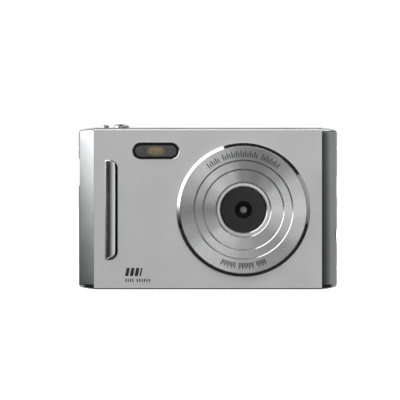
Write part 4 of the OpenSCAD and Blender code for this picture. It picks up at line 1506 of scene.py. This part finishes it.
@dataclass
class Grip(SubAssembly):
    """The mirror-finished finger grip bar."""

    foot: float = 0.8 * MM
    bar_w: float = 4.06 * MM
    inset: float = 0.12 * MM
    shadow_plate_t: float = 0.3 * MM
    outer_corner: float = 0.7 * MM
    inner_corner: float = 3.1 * MM
    ridge: float = 0.9
    crest: float = 0.05
    fullness: float = 1.7
    shoulder: float = 0.985
    upper_end: float = 0.8 * MM
    lower_end: float = 2.1 * MM
    edge: float = 0.06 * MM
    shadow_plate_edge: float = 0.08 * MM
    pin_r: float = 0.8 * MM
    pin_tip: float = 0.2 * MM
    pin_in: float = 2.6 * MM
    pin_up: float = 6.0 * MM
    steps: int = 16

    def build(self) -> None:
        """Builds the bar, its pins, and a painted shadow: a near-black plate under the bar that
        shows along its inner side, where the gap is shaded.
        """
        low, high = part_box("grip_bar")
        low.x += self.inset
        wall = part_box("front_panel")[0].y
        bar = self.plate("grip_bar_rolled", low, Vector((low.x + self.bar_w, wall, high.z)),
                         self.foot)
        self.draw_up(bar, low, Vector((low.x + self.bar_w, high.y, high.z)), wall)
        Bench.round_edges(bar, self.edge, 4, 28.0)
        pins = [self.pin(low.x + self.pin_in, z, wall, high.y)
                for z in (low.z + self.pin_up, high.z - self.pin_up)]
        self.keep(Bench.join("grip_bar_rolled", [bar, *pins]), "grip_bar", POLISHED_BAR,
                  replaces=True)
        # Painted shadow: the near-black plate reaches past the bar's inner side and shows there as
        # a dark gap.
        shadow_plate = self.plate("grip_bar_shadow_gap_plate", low, Vector((high.x, wall, high.z)), self.shadow_plate_t)
        Bench.round_edges(shadow_plate, self.shadow_plate_edge)
        self.keep(shadow_plate, "grip_bar", SHADOW_GAP_PLATE)

    def plate(self, name: str, low: Vector, high: Vector, thick: float) -> bpy.types.Object:
        """Makes a plate with small outer corners and large inner corners.

        Args:
            name: Name of the piece.
            low: Corner at its lower outer end.
            high: Corner at its upper inner end, at the level of the panel's face.
            thick: Its thickness.

        Returns:
            The new piece.
        """
        size = Vector((high.x - low.x, thick, high.z - low.z))
        spot = Vector(((low.x + high.x) / 2, high.y - thick / 2, (low.z + high.z) / 2))
        plate = Bench.bar(name, spot, size)
        Bench.edit(plate)
        for side, radius in ((low.x, self.outer_corner), (high.x, self.inner_corner)):
            Bench.select(plate, lambda e: abs(e.verts[0].co.x - side) < GAP and runs_along_y(e),
                         "EDGE")
            bpy.ops.mesh.bevel(offset=radius, segments=14)
        Bench.close()
        return plate

    def draw_up(self, bar: bpy.types.Object, low: Vector, high: Vector, wall: float) -> None:
        """Draws the open bar's front face up in narrowing loops, to a ridge along its length.

        Args:
            bar: The bar.
            low: Lowest corner of the whole bar.
            high: Highest corner of the whole bar.
            wall: Level of the panel's face.
        """
        length, ends = high.z - low.z, self.upper_end + self.lower_end
        hub = Vector((low.x + self.ridge * (high.x - low.x), 0.0,
                      high.z - length * self.upper_end / ends))
        rise = wall - self.foot - low.y
        Bench.edit(bar)
        Bench.select(bar, lambda f: f.normal.y < -0.9, "FACE")
        old_x, old_z, level = 1.0, length, wall - self.foot
        for i in range(1, self.steps + 1):
            part = i / self.steps
            hub.y = wall - self.foot - rise * (1 - (1 - part) ** self.fullness) ** self.shoulder
            bpy.ops.mesh.extrude_region_move(TRANSFORM_OT_translate={"value": (0, hub.y - level,
                                                                               0)})
            new_x, new_z = 1 - (1 - self.crest) * part, length - ends * part
            bpy.ops.transform.resize(value=(new_x / old_x, 1.0, new_z / old_z), center_override=hub)
            old_x, old_z, level = new_x, new_z, hub.y
        Bench.close()

    def pin(self, x: float, z: float, wall: float, back: float) -> bpy.types.Object:
        """Turns one of the pins that hold the bar.

        Args:
            x: Place of its axis along X.
            z: Place of its axis along Z.
            wall: Level of the panel's face.
            back: Level of its end.

        Returns:
            The pin.
        """
        profile = [(0, wall), (self.pin_r, wall), (self.pin_r, back - self.pin_tip),
                   (self.pin_r - self.pin_tip, back), (0, back)]
        pin = Bench.turn("grip_pin", profile, Vector((x, wall, z)), Axis.Y, 32)
        Bench.round_edges(pin, 0.0)
        return pin


@dataclass
class TopButtons(SubAssembly):
    """The shutter and power buttons with their switches."""

    collar_w: float = 0.35 * MM
    stem_r: float = 1.218 * MM
    flange_t: float = 0.65 * MM
    dome_h: float = 0.85 * MM
    dome_draw: float = 0.82
    dome_power: float = 1.6
    dome_steps: int = 10
    dish_r: float = 0.09
    dish: float = 0.03 * MM
    edge: float = 0.05 * MM

    def build(self) -> None:
        """Builds the top buttons."""
        self.shutter()
        self.soften("power_button", 0.12 * MM, 3, finish=BUTTON_CHROME)
        for node in ("shutter_switch", "power_switch"):
            self.soften(node, 0.06 * MM)
        self.dress("button_board")

    def shutter(self) -> None:
        """Turns the shutter button with a dished top and a grooved collar."""
        low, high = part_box("shutter_button")
        flange_r = half_width("shutter_button")
        cap_r, shoulder = flange_r - self.collar_w, high.z - self.dome_h
        flange_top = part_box("top_cover")[0].z - GAP
        flange_base = flange_top + GAP - self.flange_t
        profile = [(0, low.z), (self.stem_r, low.z), (self.stem_r, flange_base),
                   (flange_r, flange_base), (flange_r, flange_top), (cap_r, flange_top),
                   (cap_r, shoulder)]
        for i in range(1, self.dome_steps + 1):
            part = i / self.dome_steps
            profile.append((cap_r * (1 - self.dome_draw * part**self.dome_power),
                            shoulder + self.dome_h * math.sin(part * math.pi / 2)))
        profile += [(self.dish_r * cap_r, high.z - self.dish), (0, high.z - self.dish)]
        button = Bench.turn("shutter_button_turned", profile, middle("shutter_button"), Axis.Z, 96)
        Bench.round_edges(button, self.edge)
        self.keep(button, "shutter_button", BUTTON_CHROME, replaces=True)


@dataclass
class RearControls(SubAssembly):
    """The round keys, the navigation pad, the OK key and the zoom rocker with their marks."""

    mark_t: float = 0.02 * MM
    dish: float = 0.16 * MM

    def build(self) -> None:
        """Builds the rear controls."""
        for node in ("play_button", "mode_button", "menu_button", "delete_button"):
            self.soften(node, 0.18 * MM, 3)
        self.pad()
        self.soften("ok_button", 0.25 * MM, 4)
        self.rocker()
        self.soften("navigation_seat", 0.04 * MM)
        self.soften("zoom_pin", 0.1 * MM)
        self.dress("key_board")
        self.lamp()
        self.key_marks()

    def pad(self) -> None:
        """Turns the navigation pad with a dished ring between two lips."""
        low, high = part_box("navigation_pad")
        centre = middle("navigation_pad")
        flange_r, flange_top = half_width("navigation_pad"), low.y + 0.85 * MM
        pad_r, hole_r = flange_r - 0.6 * MM, 3.5 * MM
        profile = [(hole_r, low.y + 0.45 * MM), (flange_r, low.y + 0.45 * MM),
                   (flange_r, flange_top),
                   (pad_r, flange_top), (pad_r, high.y - 0.1 * MM), (pad_r - 0.25 * MM, high.y),
                   (pad_r - 0.6 * MM, high.y), (pad_r - 1.0 * MM, high.y - self.dish),
                   (hole_r + 1.0 * MM, high.y - self.dish), (hole_r + 0.5 * MM, high.y),
                   (hole_r + 0.2 * MM, high.y), (hole_r, high.y - 0.2 * MM)]
        ring = Bench.turn("navigation_pad_turned", profile, centre, Axis.Y)
        Bench.round_edges(ring, 0.08 * MM)
        nub = Bench.turn("nub", [(0, low.y), (0.5 * MM, low.y), (0.6 * MM, low.y + 0.1 * MM),
                                 (0.6 * MM, low.y + 0.5 * MM), (0, low.y + 0.5 * MM)],
                         centre + Vector((6.6 * MM, 0, 0)), Axis.Y, 24)
        Bench.round_edges(nub, 0.0)
        nubs = Bench.repeat(nub, [swing(90 * i, centre) for i in range(4)])
        self.keep(Bench.join("navigation_pad_turned", [ring, nubs]), "navigation_pad",
                  replaces=True)

    def rocker(self) -> None:
        """Dishes the zoom rocker's face and rounds its edges."""
        rocker = Bench.copy_node("zoom_rocker", "zoom_rocker_dished")
        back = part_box("zoom_rocker")[1].y
        Bench.edit(rocker)
        Bench.select(rocker, lambda f: f.normal.y > 0.99 and f.calc_center_median().y > back - GAP,
                     "FACE")
        bpy.ops.mesh.inset(thickness=0.45 * MM, depth=0)
        bpy.ops.mesh.inset(thickness=0.3 * MM, depth=-self.dish)
        bpy.ops.object.mode_set(mode="OBJECT")
        Bench.round_edges(rocker, 0.1 * MM, 2, 20.0)
        self.keep(rocker, "zoom_rocker", replaces=True)
        centre = middle("zoom_rocker")
        y = back - self.dish
        size = Vector((1.3 * MM, self.mark_t, 0.3 * MM))
        for name, x, upright in (("zoom_wide_mark", 4.4, False), ("zoom_near_mark", -4.4, True)):
            spot = Vector((centre.x + x * MM, y, centre.z))
            bars = [Bench.bar(name, spot, size)]
            if upright:
                bars.append(Bench.bar(name, spot, Vector((size.z, size.y, size.x))))
            self.keep(Bench.join(name, bars), "zoom_rocker", PALE_INK)

    def lamp(self) -> None:
        """Turns the status lamp with a domed lens."""
        low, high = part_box("status_lamp")
        radius = half_width("status_lamp")
        profile = [(0, low.y), (radius, low.y), (radius, high.y - 0.1 * MM),
                   (radius * 0.7, high.y - 0.03 * MM),
                   (radius * 0.35, high.y), (0, high.y)]
        lamp = Bench.turn("status_lamp_domed", profile, middle("status_lamp"), Axis.Y, 32)
        Bench.round_edges(lamp, 0.0)
        self.keep(lamp, "status_lamp", STATUS_GREEN, replaces=True)

    def triangle(self, name: str, centre: Vector, radius: float, turn: float) -> bpy.types.Object:
        """Makes a thin rounded triangle that faces the back.

        Args:
            name: Name of the piece.
            centre: Its middle.
            radius: Distance from its middle to a corner.
            turn: Angle in degrees from pointing up.

        Returns:
            The new piece.
        """
        Bench.clear()
        bpy.ops.mesh.primitive_cylinder_add(vertices=3, radius=radius, depth=self.mark_t,
                                            location=centre,
                                            rotation=(math.pi / 2, 0, 0))
        mark = Bench.fresh(name)
        tip = max(mark.data.vertices, key=lambda v: abs(v.co.z - centre.z)).co
        mark.data.transform(swing(turn + (0 if tip.z > centre.z else 180), centre))
        Bench.edit(mark)
        Bench.select(mark, runs_along_y, "EDGE")
        bpy.ops.mesh.bevel(offset=radius * 0.15, segments=2)
        Bench.close()
        return mark

    def key_marks(self) -> None:
        """Adds a plain sign to each key and an arrow to each side of the pad."""
        face = {n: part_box(n)[1].y for n in ("play_button", "mode_button", "menu_button",
                                            "delete_button")}
        place = {n: Vector((middle(n).x, y, middle(n).z)) for n, y in face.items()}
        self.keep(self.triangle("play_sign", place["play_button"], 0.9 * MM, -90), "play_button",
                  PALE_INK)
        spot = place["mode_button"]
        loop = Bench.turn("mode_sign", [(0.95 * MM, spot.y), (0.95 * MM, spot.y + self.mark_t / 2),
                                        (0.68 * MM, spot.y + self.mark_t / 2), (0.68 * MM, spot.y)],
                          spot, Axis.Y, 40)
        self.keep(loop, "mode_button", PALE_INK)
        bar = Bench.bar("menu_sign", place["menu_button"],
                        Vector((1.9 * MM, self.mark_t, 0.3 * MM)), 0.1 * MM)
        self.keep(Bench.repeat(bar, [shift(z=z * MM) for z in (-0.65, 0, 0.65)]), "menu_button",
                  PALE_INK)
        spot = place["delete_button"]
        bar = Bench.bar("delete_sign", spot, Vector((2.1 * MM, self.mark_t, 0.32 * MM)), 0.1 * MM)
        self.keep(Bench.repeat(bar, [swing(45, spot), swing(-45, spot)]), "delete_button", PALE_INK)
        hub = middle("navigation_pad")
        hub.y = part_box("navigation_pad")[1].y - self.dish
        arrow = self.triangle("pad_arrows", hub + Vector((0, 0, 5.6 * MM)), 0.75 * MM, 0)
        self.keep(Bench.repeat(arrow, [swing(90 * i, hub) for i in range(4)]), "navigation_pad",
                  PALE_INK)
        spot = middle("ok_button")
        spot.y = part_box("ok_button")[1].y
        dot = Bench.turn("ok_sign",
                         [(0, spot.y - self.mark_t / 2), (0.45 * MM, spot.y - self.mark_t / 2),
                                     (0.45 * MM, spot.y + self.mark_t / 2),
                                     (0, spot.y + self.mark_t / 2)],
                         spot, Axis.Y, 32)
        self.keep(dot, "ok_button", INK)


@dataclass
class Display(SubAssembly):
    """The rear window with the screen behind it."""

    margin_x: float = 2.4 * MM
    margin_z: float = 2.7 * MM

    def build(self) -> None:
        """Builds the display."""
        low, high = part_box("display_window")
        size = Vector((high.x - low.x - 2 * self.margin_x, 0.03 * MM,
                       high.z - low.z - 2 * self.margin_z))
        spot = (low + high) / 2
        spot.y = high.y
        self.keep(Bench.bar("screen_area", spot, size, 0.4 * MM), "display_window", SCREEN_GLASS)
        self.soften("display_window", 0.15 * MM, 3)
        for node in ("display_panel", "display_frame"):
            self.soften(node, 0.05 * MM)
        self.dress("display_ribbon")


@dataclass
class Power(SubAssembly):
    """The battery, its holder and contacts, the door and its pin."""

    def build(self) -> None:
        """Builds the power group."""
        self.soften("battery", 0.7 * MM, 4)
        self.soften("battery_door", 0.12 * MM)
        self.soften("battery_contacts", 0.05 * MM)
        self.soften("door_pin", 0.1 * MM)
        self.dress("battery_holder")
        self.terminals()
        self.door_seal()

    def terminals(self) -> None:
        """Adds three gold pads in the top of the battery."""
        left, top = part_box("battery_contacts")[0].x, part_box("battery")[1].z
        centre = Vector((left + 0.9 * MM, middle("battery").y, top - 0.04 * MM))
        pad = Bench.bar("battery_terminals", centre, Vector((1.7, 2.6, 0.09)) * MM)
        self.keep(Bench.repeat(pad, [shift(4 * i * MM) for i in range(3)]), "battery",
                  FINISHES["gold"])

    def door_seal(self) -> None:
        """Adds a rubber lip along the free end of the door."""
        low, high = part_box("battery_door")
        centre = Vector((low.x + 1.15 * MM, (low.y + high.y) / 2, low.z + 1.3 * MM))
        lip = Bench.bar("door_seal", centre,
                        Vector((0.6 * MM, high.y - low.y - 5.4 * MM, 0.4 * MM)))
        Bench.round_edges(lip, 0.08 * MM)
        self.keep(lip, "battery_door", FINISHES["rubber"])


@dataclass
class Connections(SubAssembly):
    """The port, the card and its socket, the tripod insert and the speaker."""

    thread_pitch: float = 1.27 * MM
    thread_depth: float = 0.45 * MM
    thread_start: float = 0.35 * MM
    core_r: float = 2.55 * MM
    bore_depth: float = 5.6 * MM
    lead_in: float = 0.2 * MM
    contact_pitch: float = 0.5 * MM
    contacts: int = 12

    def build(self) -> None:
        """Builds the connections."""
        self.soften("usb_port", 0.05 * MM)
        self.port_contacts()
        self.soften("memory_card", 0.1 * MM)
        self.card_details()
        self.soften("card_socket", 0.08 * MM)
        self.tripod()
        self.soften("speaker", 0.15 * MM)

    def port_contacts(self) -> None:
        """Adds the gold contacts on both sides of the port's tongue."""
        hub = middle("usb_port")
        hub.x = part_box("usb_port")[1].x
        contact = Bench.bar("port_contacts", hub + Vector((-2.4, 0.35, -2.75)) * MM,
                            Vector((2.8, 0.06, 0.26)) * MM)
        moves = [shift(y=y * MM, z=i * self.contact_pitch)
                 for y in (0.0, -0.7) for i in range(self.contacts)]
        self.keep(Bench.repeat(contact, moves), "usb_port", FINISHES["gold"])

    def card_details(self) -> None:
        """Adds a pale label and the gold contacts of the card."""
        low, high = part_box("memory_card")
        hub = middle("memory_card")
        label = Bench.bar("card_label", Vector((hub.x - 0.6 * MM, low.y, hub.z)),
                          Vector((8.0, 0.03, 8.4)) * MM, 0.6 * MM)
        self.keep(label, "memory_card", FINISHES["battery_sleeve"])
        contact = Bench.bar("card_contacts", Vector((low.x + 1.9 * MM, high.y, low.z + 1.3 * MM)),
                            Vector((2.4, 0.03, 0.8)) * MM, 0.1 * MM)
        self.keep(Bench.repeat(contact, [shift(z=1.15 * i * MM) for i in range(8)]), "memory_card",
                  FINISHES["gold"])

    def tripod(self) -> None:
        """Turns the tripod insert with thread ridges down its bore."""
        low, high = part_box("tripod_socket")
        outer_r, root_r = half_width("tripod_socket"), self.core_r + self.thread_depth
        end = low.z + self.bore_depth
        profile = [(0, high.z), (outer_r, high.z), (outer_r, low.z), (root_r + self.lead_in, low.z)]
        level = low.z + self.thread_start
        while level + self.thread_pitch < end:
            profile += [(radius, level + share * self.thread_pitch) for radius, share in
                        ((self.core_r, 0.35), (self.core_r, 0.5), (root_r, 0.85), (root_r, 1.0))]
            level += self.thread_pitch
        profile += [(self.core_r, end), (0, end)]
        insert = Bench.turn("tripod_socket_threaded", profile, middle("tripod_socket"), Axis.Z, 96)
        Bench.round_edges(insert, 0.04 * MM)
        self.keep(insert, "tripod_socket", replaces=True)


@dataclass
class Electronics(SubAssembly):
    """The main board and the processor."""

    def build(self) -> None:
        """Builds the electronics."""
        self.dress("main_board")
        self.soften("processor", 0.15 * MM)


# ----------------------------------------------------------------------------------------------
# Studio
# ----------------------------------------------------------------------------------------------


LEFT_GROWTH = 40.5


@dataclass(frozen=True)
class Softbox:
    """A flat light with soft borders.

    Attributes:
        name: Its name.
        centre: Its middle, in metres.
        facing: The way it faces.
        width: Its width in metres.
        height: Its height in metres.
        strength: Strength at its middle.
        growth_up: Growth of the logarithm of its strength in each metre upwards.
        growth_side: The same growth sideways.
        most: The most that its strength reaches.
        border: Width of its soft border.
    """

    name: str
    centre: tuple[float, float, float]
    facing: tuple[float, float, float]
    width: float
    height: float
    strength: float
    growth_up: float = 0.0
    growth_side: float = 0.0
    most: float = 2.0
    border: float = 0.03

    def build(self) -> None:
        """Makes the light."""
        Bench.clear()
        bpy.ops.mesh.primitive_plane_add(size=1.0, location=self.centre)
        card = bpy.context.active_object
        card.name = card.data.name = self.name
        card.scale = (self.width, self.height, 1.0)
        card.rotation_euler = Vector(self.facing).to_track_quat("Z", "Y").to_euler()
        bpy.ops.object.transform_apply(location=False, rotation=False, scale=True)
        card.visible_camera = False
        card.visible_shadow = False
        lamp = bpy.data.materials.new(f"{self.name}_light")
        lamp.use_nodes = True
        lamp.node_tree.nodes.clear()
        graph = Graph(lamp.node_tree)
        light = graph.add("ShaderNodeEmission", {"Strength": self.pattern(graph)})
        graph.feed(graph.add("ShaderNodeOutputMaterial").inputs["Surface"], light.outputs[0])
        card.data.materials.append(lamp)

    def pattern(self, graph: Graph) -> Socket:
        """Works out the strength over the light's face.

        Args:
            graph: The light's graph.

        Returns:
            The strength.
        """
        point = graph.split(graph.place())
        growth = graph.math("MULTIPLY", point["Y"], self.growth_up)
        growth = graph.math("MULTIPLY_ADD", point["X"], self.growth_side, growth)
        strength = graph.math("MULTIPLY", graph.math("EXPONENT", growth), self.strength)
        strength = graph.math("MINIMUM", strength, self.most)
        for axis, size in (("X", self.width), ("Y", self.height)):
            away = graph.math("ABSOLUTE", point[axis])
            strength = graph.math("MULTIPLY", strength,
                                  graph.ease(away, size / 2, size / 2 - self.border))
        back = graph.add("ShaderNodeNewGeometry").outputs["Backfacing"]
        return graph.math("MULTIPLY", strength, graph.math("SUBTRACT", 1.0, back))


@dataclass
class Studio:
    """The pale floor, the softboxes, the surroundings and the camera."""

    distance: float = 2.5
    frame_width: float = 146.45 * MM
    aim_x: float = -2.9 * MM
    aim_z: float = 32.8 * MM
    sensor: float = 36.0
    floor_radius: float = 30.0
    floor_gap: float = 0.02 * MM
    paper: float = 0.8
    near: tuple[float, float] = (0.2, 0.88)
    far: tuple[float, float] = (1.0, 1.0)
    fill: float = 0.35
    glint: float = 0.02
    softboxes: tuple[Softbox, ...] = (
        Softbox("front_softbox", (0.0, -1.3, 0.05), (0, 1, 0), 1.6, 1.6, 0.67, 0.0, -0.95,
                border=0.55),
        # Strength 0.465 at a height of 0.03 m, which is 0.53 m below the middle of this one.
        Softbox("left_softbox", (-0.35, 0.08, 0.56), (1, 0, 0), 0.88, 1.28,
                0.465 * math.exp(LEFT_GROWTH * 0.53), LEFT_GROWTH, -1.0, 1.9),
        Softbox("right_softbox", (0.4, 0.1, 0.11), (-1, 0, 0), 0.8, 0.36, 0.75, 6.0, -6.5, 0.32),
        Softbox("top_softbox", (0.0, -0.42, 0.5), (0, 0.5, -1), 0.9, 0.5, 1.7, border=0.1),
        Softbox("low_softbox", (0.0, -0.5, -0.25), (0, 0.6, 1), 0.8, 0.4, 0.5, border=0.1),
        Softbox("high_softbox", (0.3, 0.3, 0.6), (0, -0.4, -1), 0.5, 0.45, 1.5),
        Softbox("rear_softbox", (0.1, 1.3, 0.25), (0, -1, 0), 1.3, 1.3, 0.6, 0.3),
        Softbox("left_rear_softbox", (-0.62, 0.62, -0.1), (1, -1, 0), 0.7, 1.2, 0.5, border=0.25),
        Softbox("right_rear_softbox", (0.62, 0.62, -0.1), (-1, -1, 0), 0.7, 1.2, 0.5, border=0.25),
    )

    def build(self) -> None:
        """Builds the studio."""
        self.floor()
        self.surroundings()
        for softbox in self.softboxes:
            softbox.build()
        self.camera()
        bpy.context.scene.view_settings.view_transform = "Standard"

    def floor(self) -> None:
        """Makes the pale floor."""
        Bench.clear()
        bpy.ops.mesh.primitive_circle_add(vertices=96, radius=self.floor_radius, fill_type="NGON",
                                          location=(0, 0, CAD_BOX[0].z - self.floor_gap))
        floor = bpy.context.active_object
        floor.name = "pale_floor"
        floor.visible_glossy = False
        floor.visible_diffuse = False
        paper = bpy.data.materials.new("pale_floor")
        paper.use_nodes = True
        shader = paper.node_tree.nodes["Principled BSDF"]
        graph = Graph(paper.node_tree)
        away = graph.add("ShaderNodeVectorMath", {0: graph.place()},
                         operation="LENGTH").outputs["Value"]
        glow = graph.ease(away, self.near[0], self.far[0], self.near[1], self.far[1])
        graph.fill(shader, {"Base Color": (self.paper, self.paper, self.paper), "Roughness": 0.9,
                            "Emission Color": (1.0, 1.0, 1.0), "Emission Strength": glow})
        under = graph.add("ShaderNodeNewGeometry").outputs["Backfacing"]
        clear = graph.add("ShaderNodeBsdfTransparent").outputs[0]
        see_through = graph.add("ShaderNodeMixShader", {0: under, 1: shader.outputs[0], 2: clear})
        graph.feed(paper.node_tree.nodes["Material Output"].inputs["Surface"],
                   see_through.outputs[0])
        floor.data.materials.append(paper)

    def surroundings(self) -> None:
        """Makes a white backdrop for the camera over dim surroundings."""
        world = bpy.data.worlds.new("studio")
        world.use_nodes = True
        world.node_tree.nodes.clear()
        graph = Graph(world.node_tree)
        rays = graph.add("ShaderNodeLightPath").outputs
        strength = graph.math("MULTIPLY_ADD", rays["Is Camera Ray"], 1 - self.glint, self.glint)
        strength = graph.math("MULTIPLY_ADD", rays["Is Diffuse Ray"], self.fill - self.glint,
                              strength)
        light = graph.add("ShaderNodeBackground", {"Color": (1.0, 1.0, 1.0), "Strength": strength})
        graph.feed(graph.add("ShaderNodeOutputWorld").inputs["Surface"], light.outputs[0])
        bpy.context.scene.world = world

    def camera(self) -> None:
        """Sets the camera straight in front of the object."""
        lens = bpy.data.cameras.new("camera")
        lens.sensor_width = self.sensor
        lens.lens = self.sensor * self.distance / self.frame_width
        lens.clip_start, lens.clip_end = 0.01, 100.0
        view = bpy.data.objects.new("camera", lens)
        view.location = (self.aim_x, LENS_FRONT - self.distance, self.aim_z)
        view.rotation_euler = (math.pi / 2, 0, 0)
        bpy.context.scene.collection.objects.link(view)
        bpy.context.scene.camera = view


def main() -> None:
    """Builds the camera and its studio."""
    logging.basicConfig(level=logging.INFO, format="%(message)s")
    for assembly in (Case(), LensFront(), Flash(), Grip(), TopButtons(), RearControls(), Display(),
                     Power(),
                     Connections(), Electronics(), Studio()):
        assembly.build()
        log.info("%s finished", type(assembly).__name__)


if __name__ == "__main__":
    main()
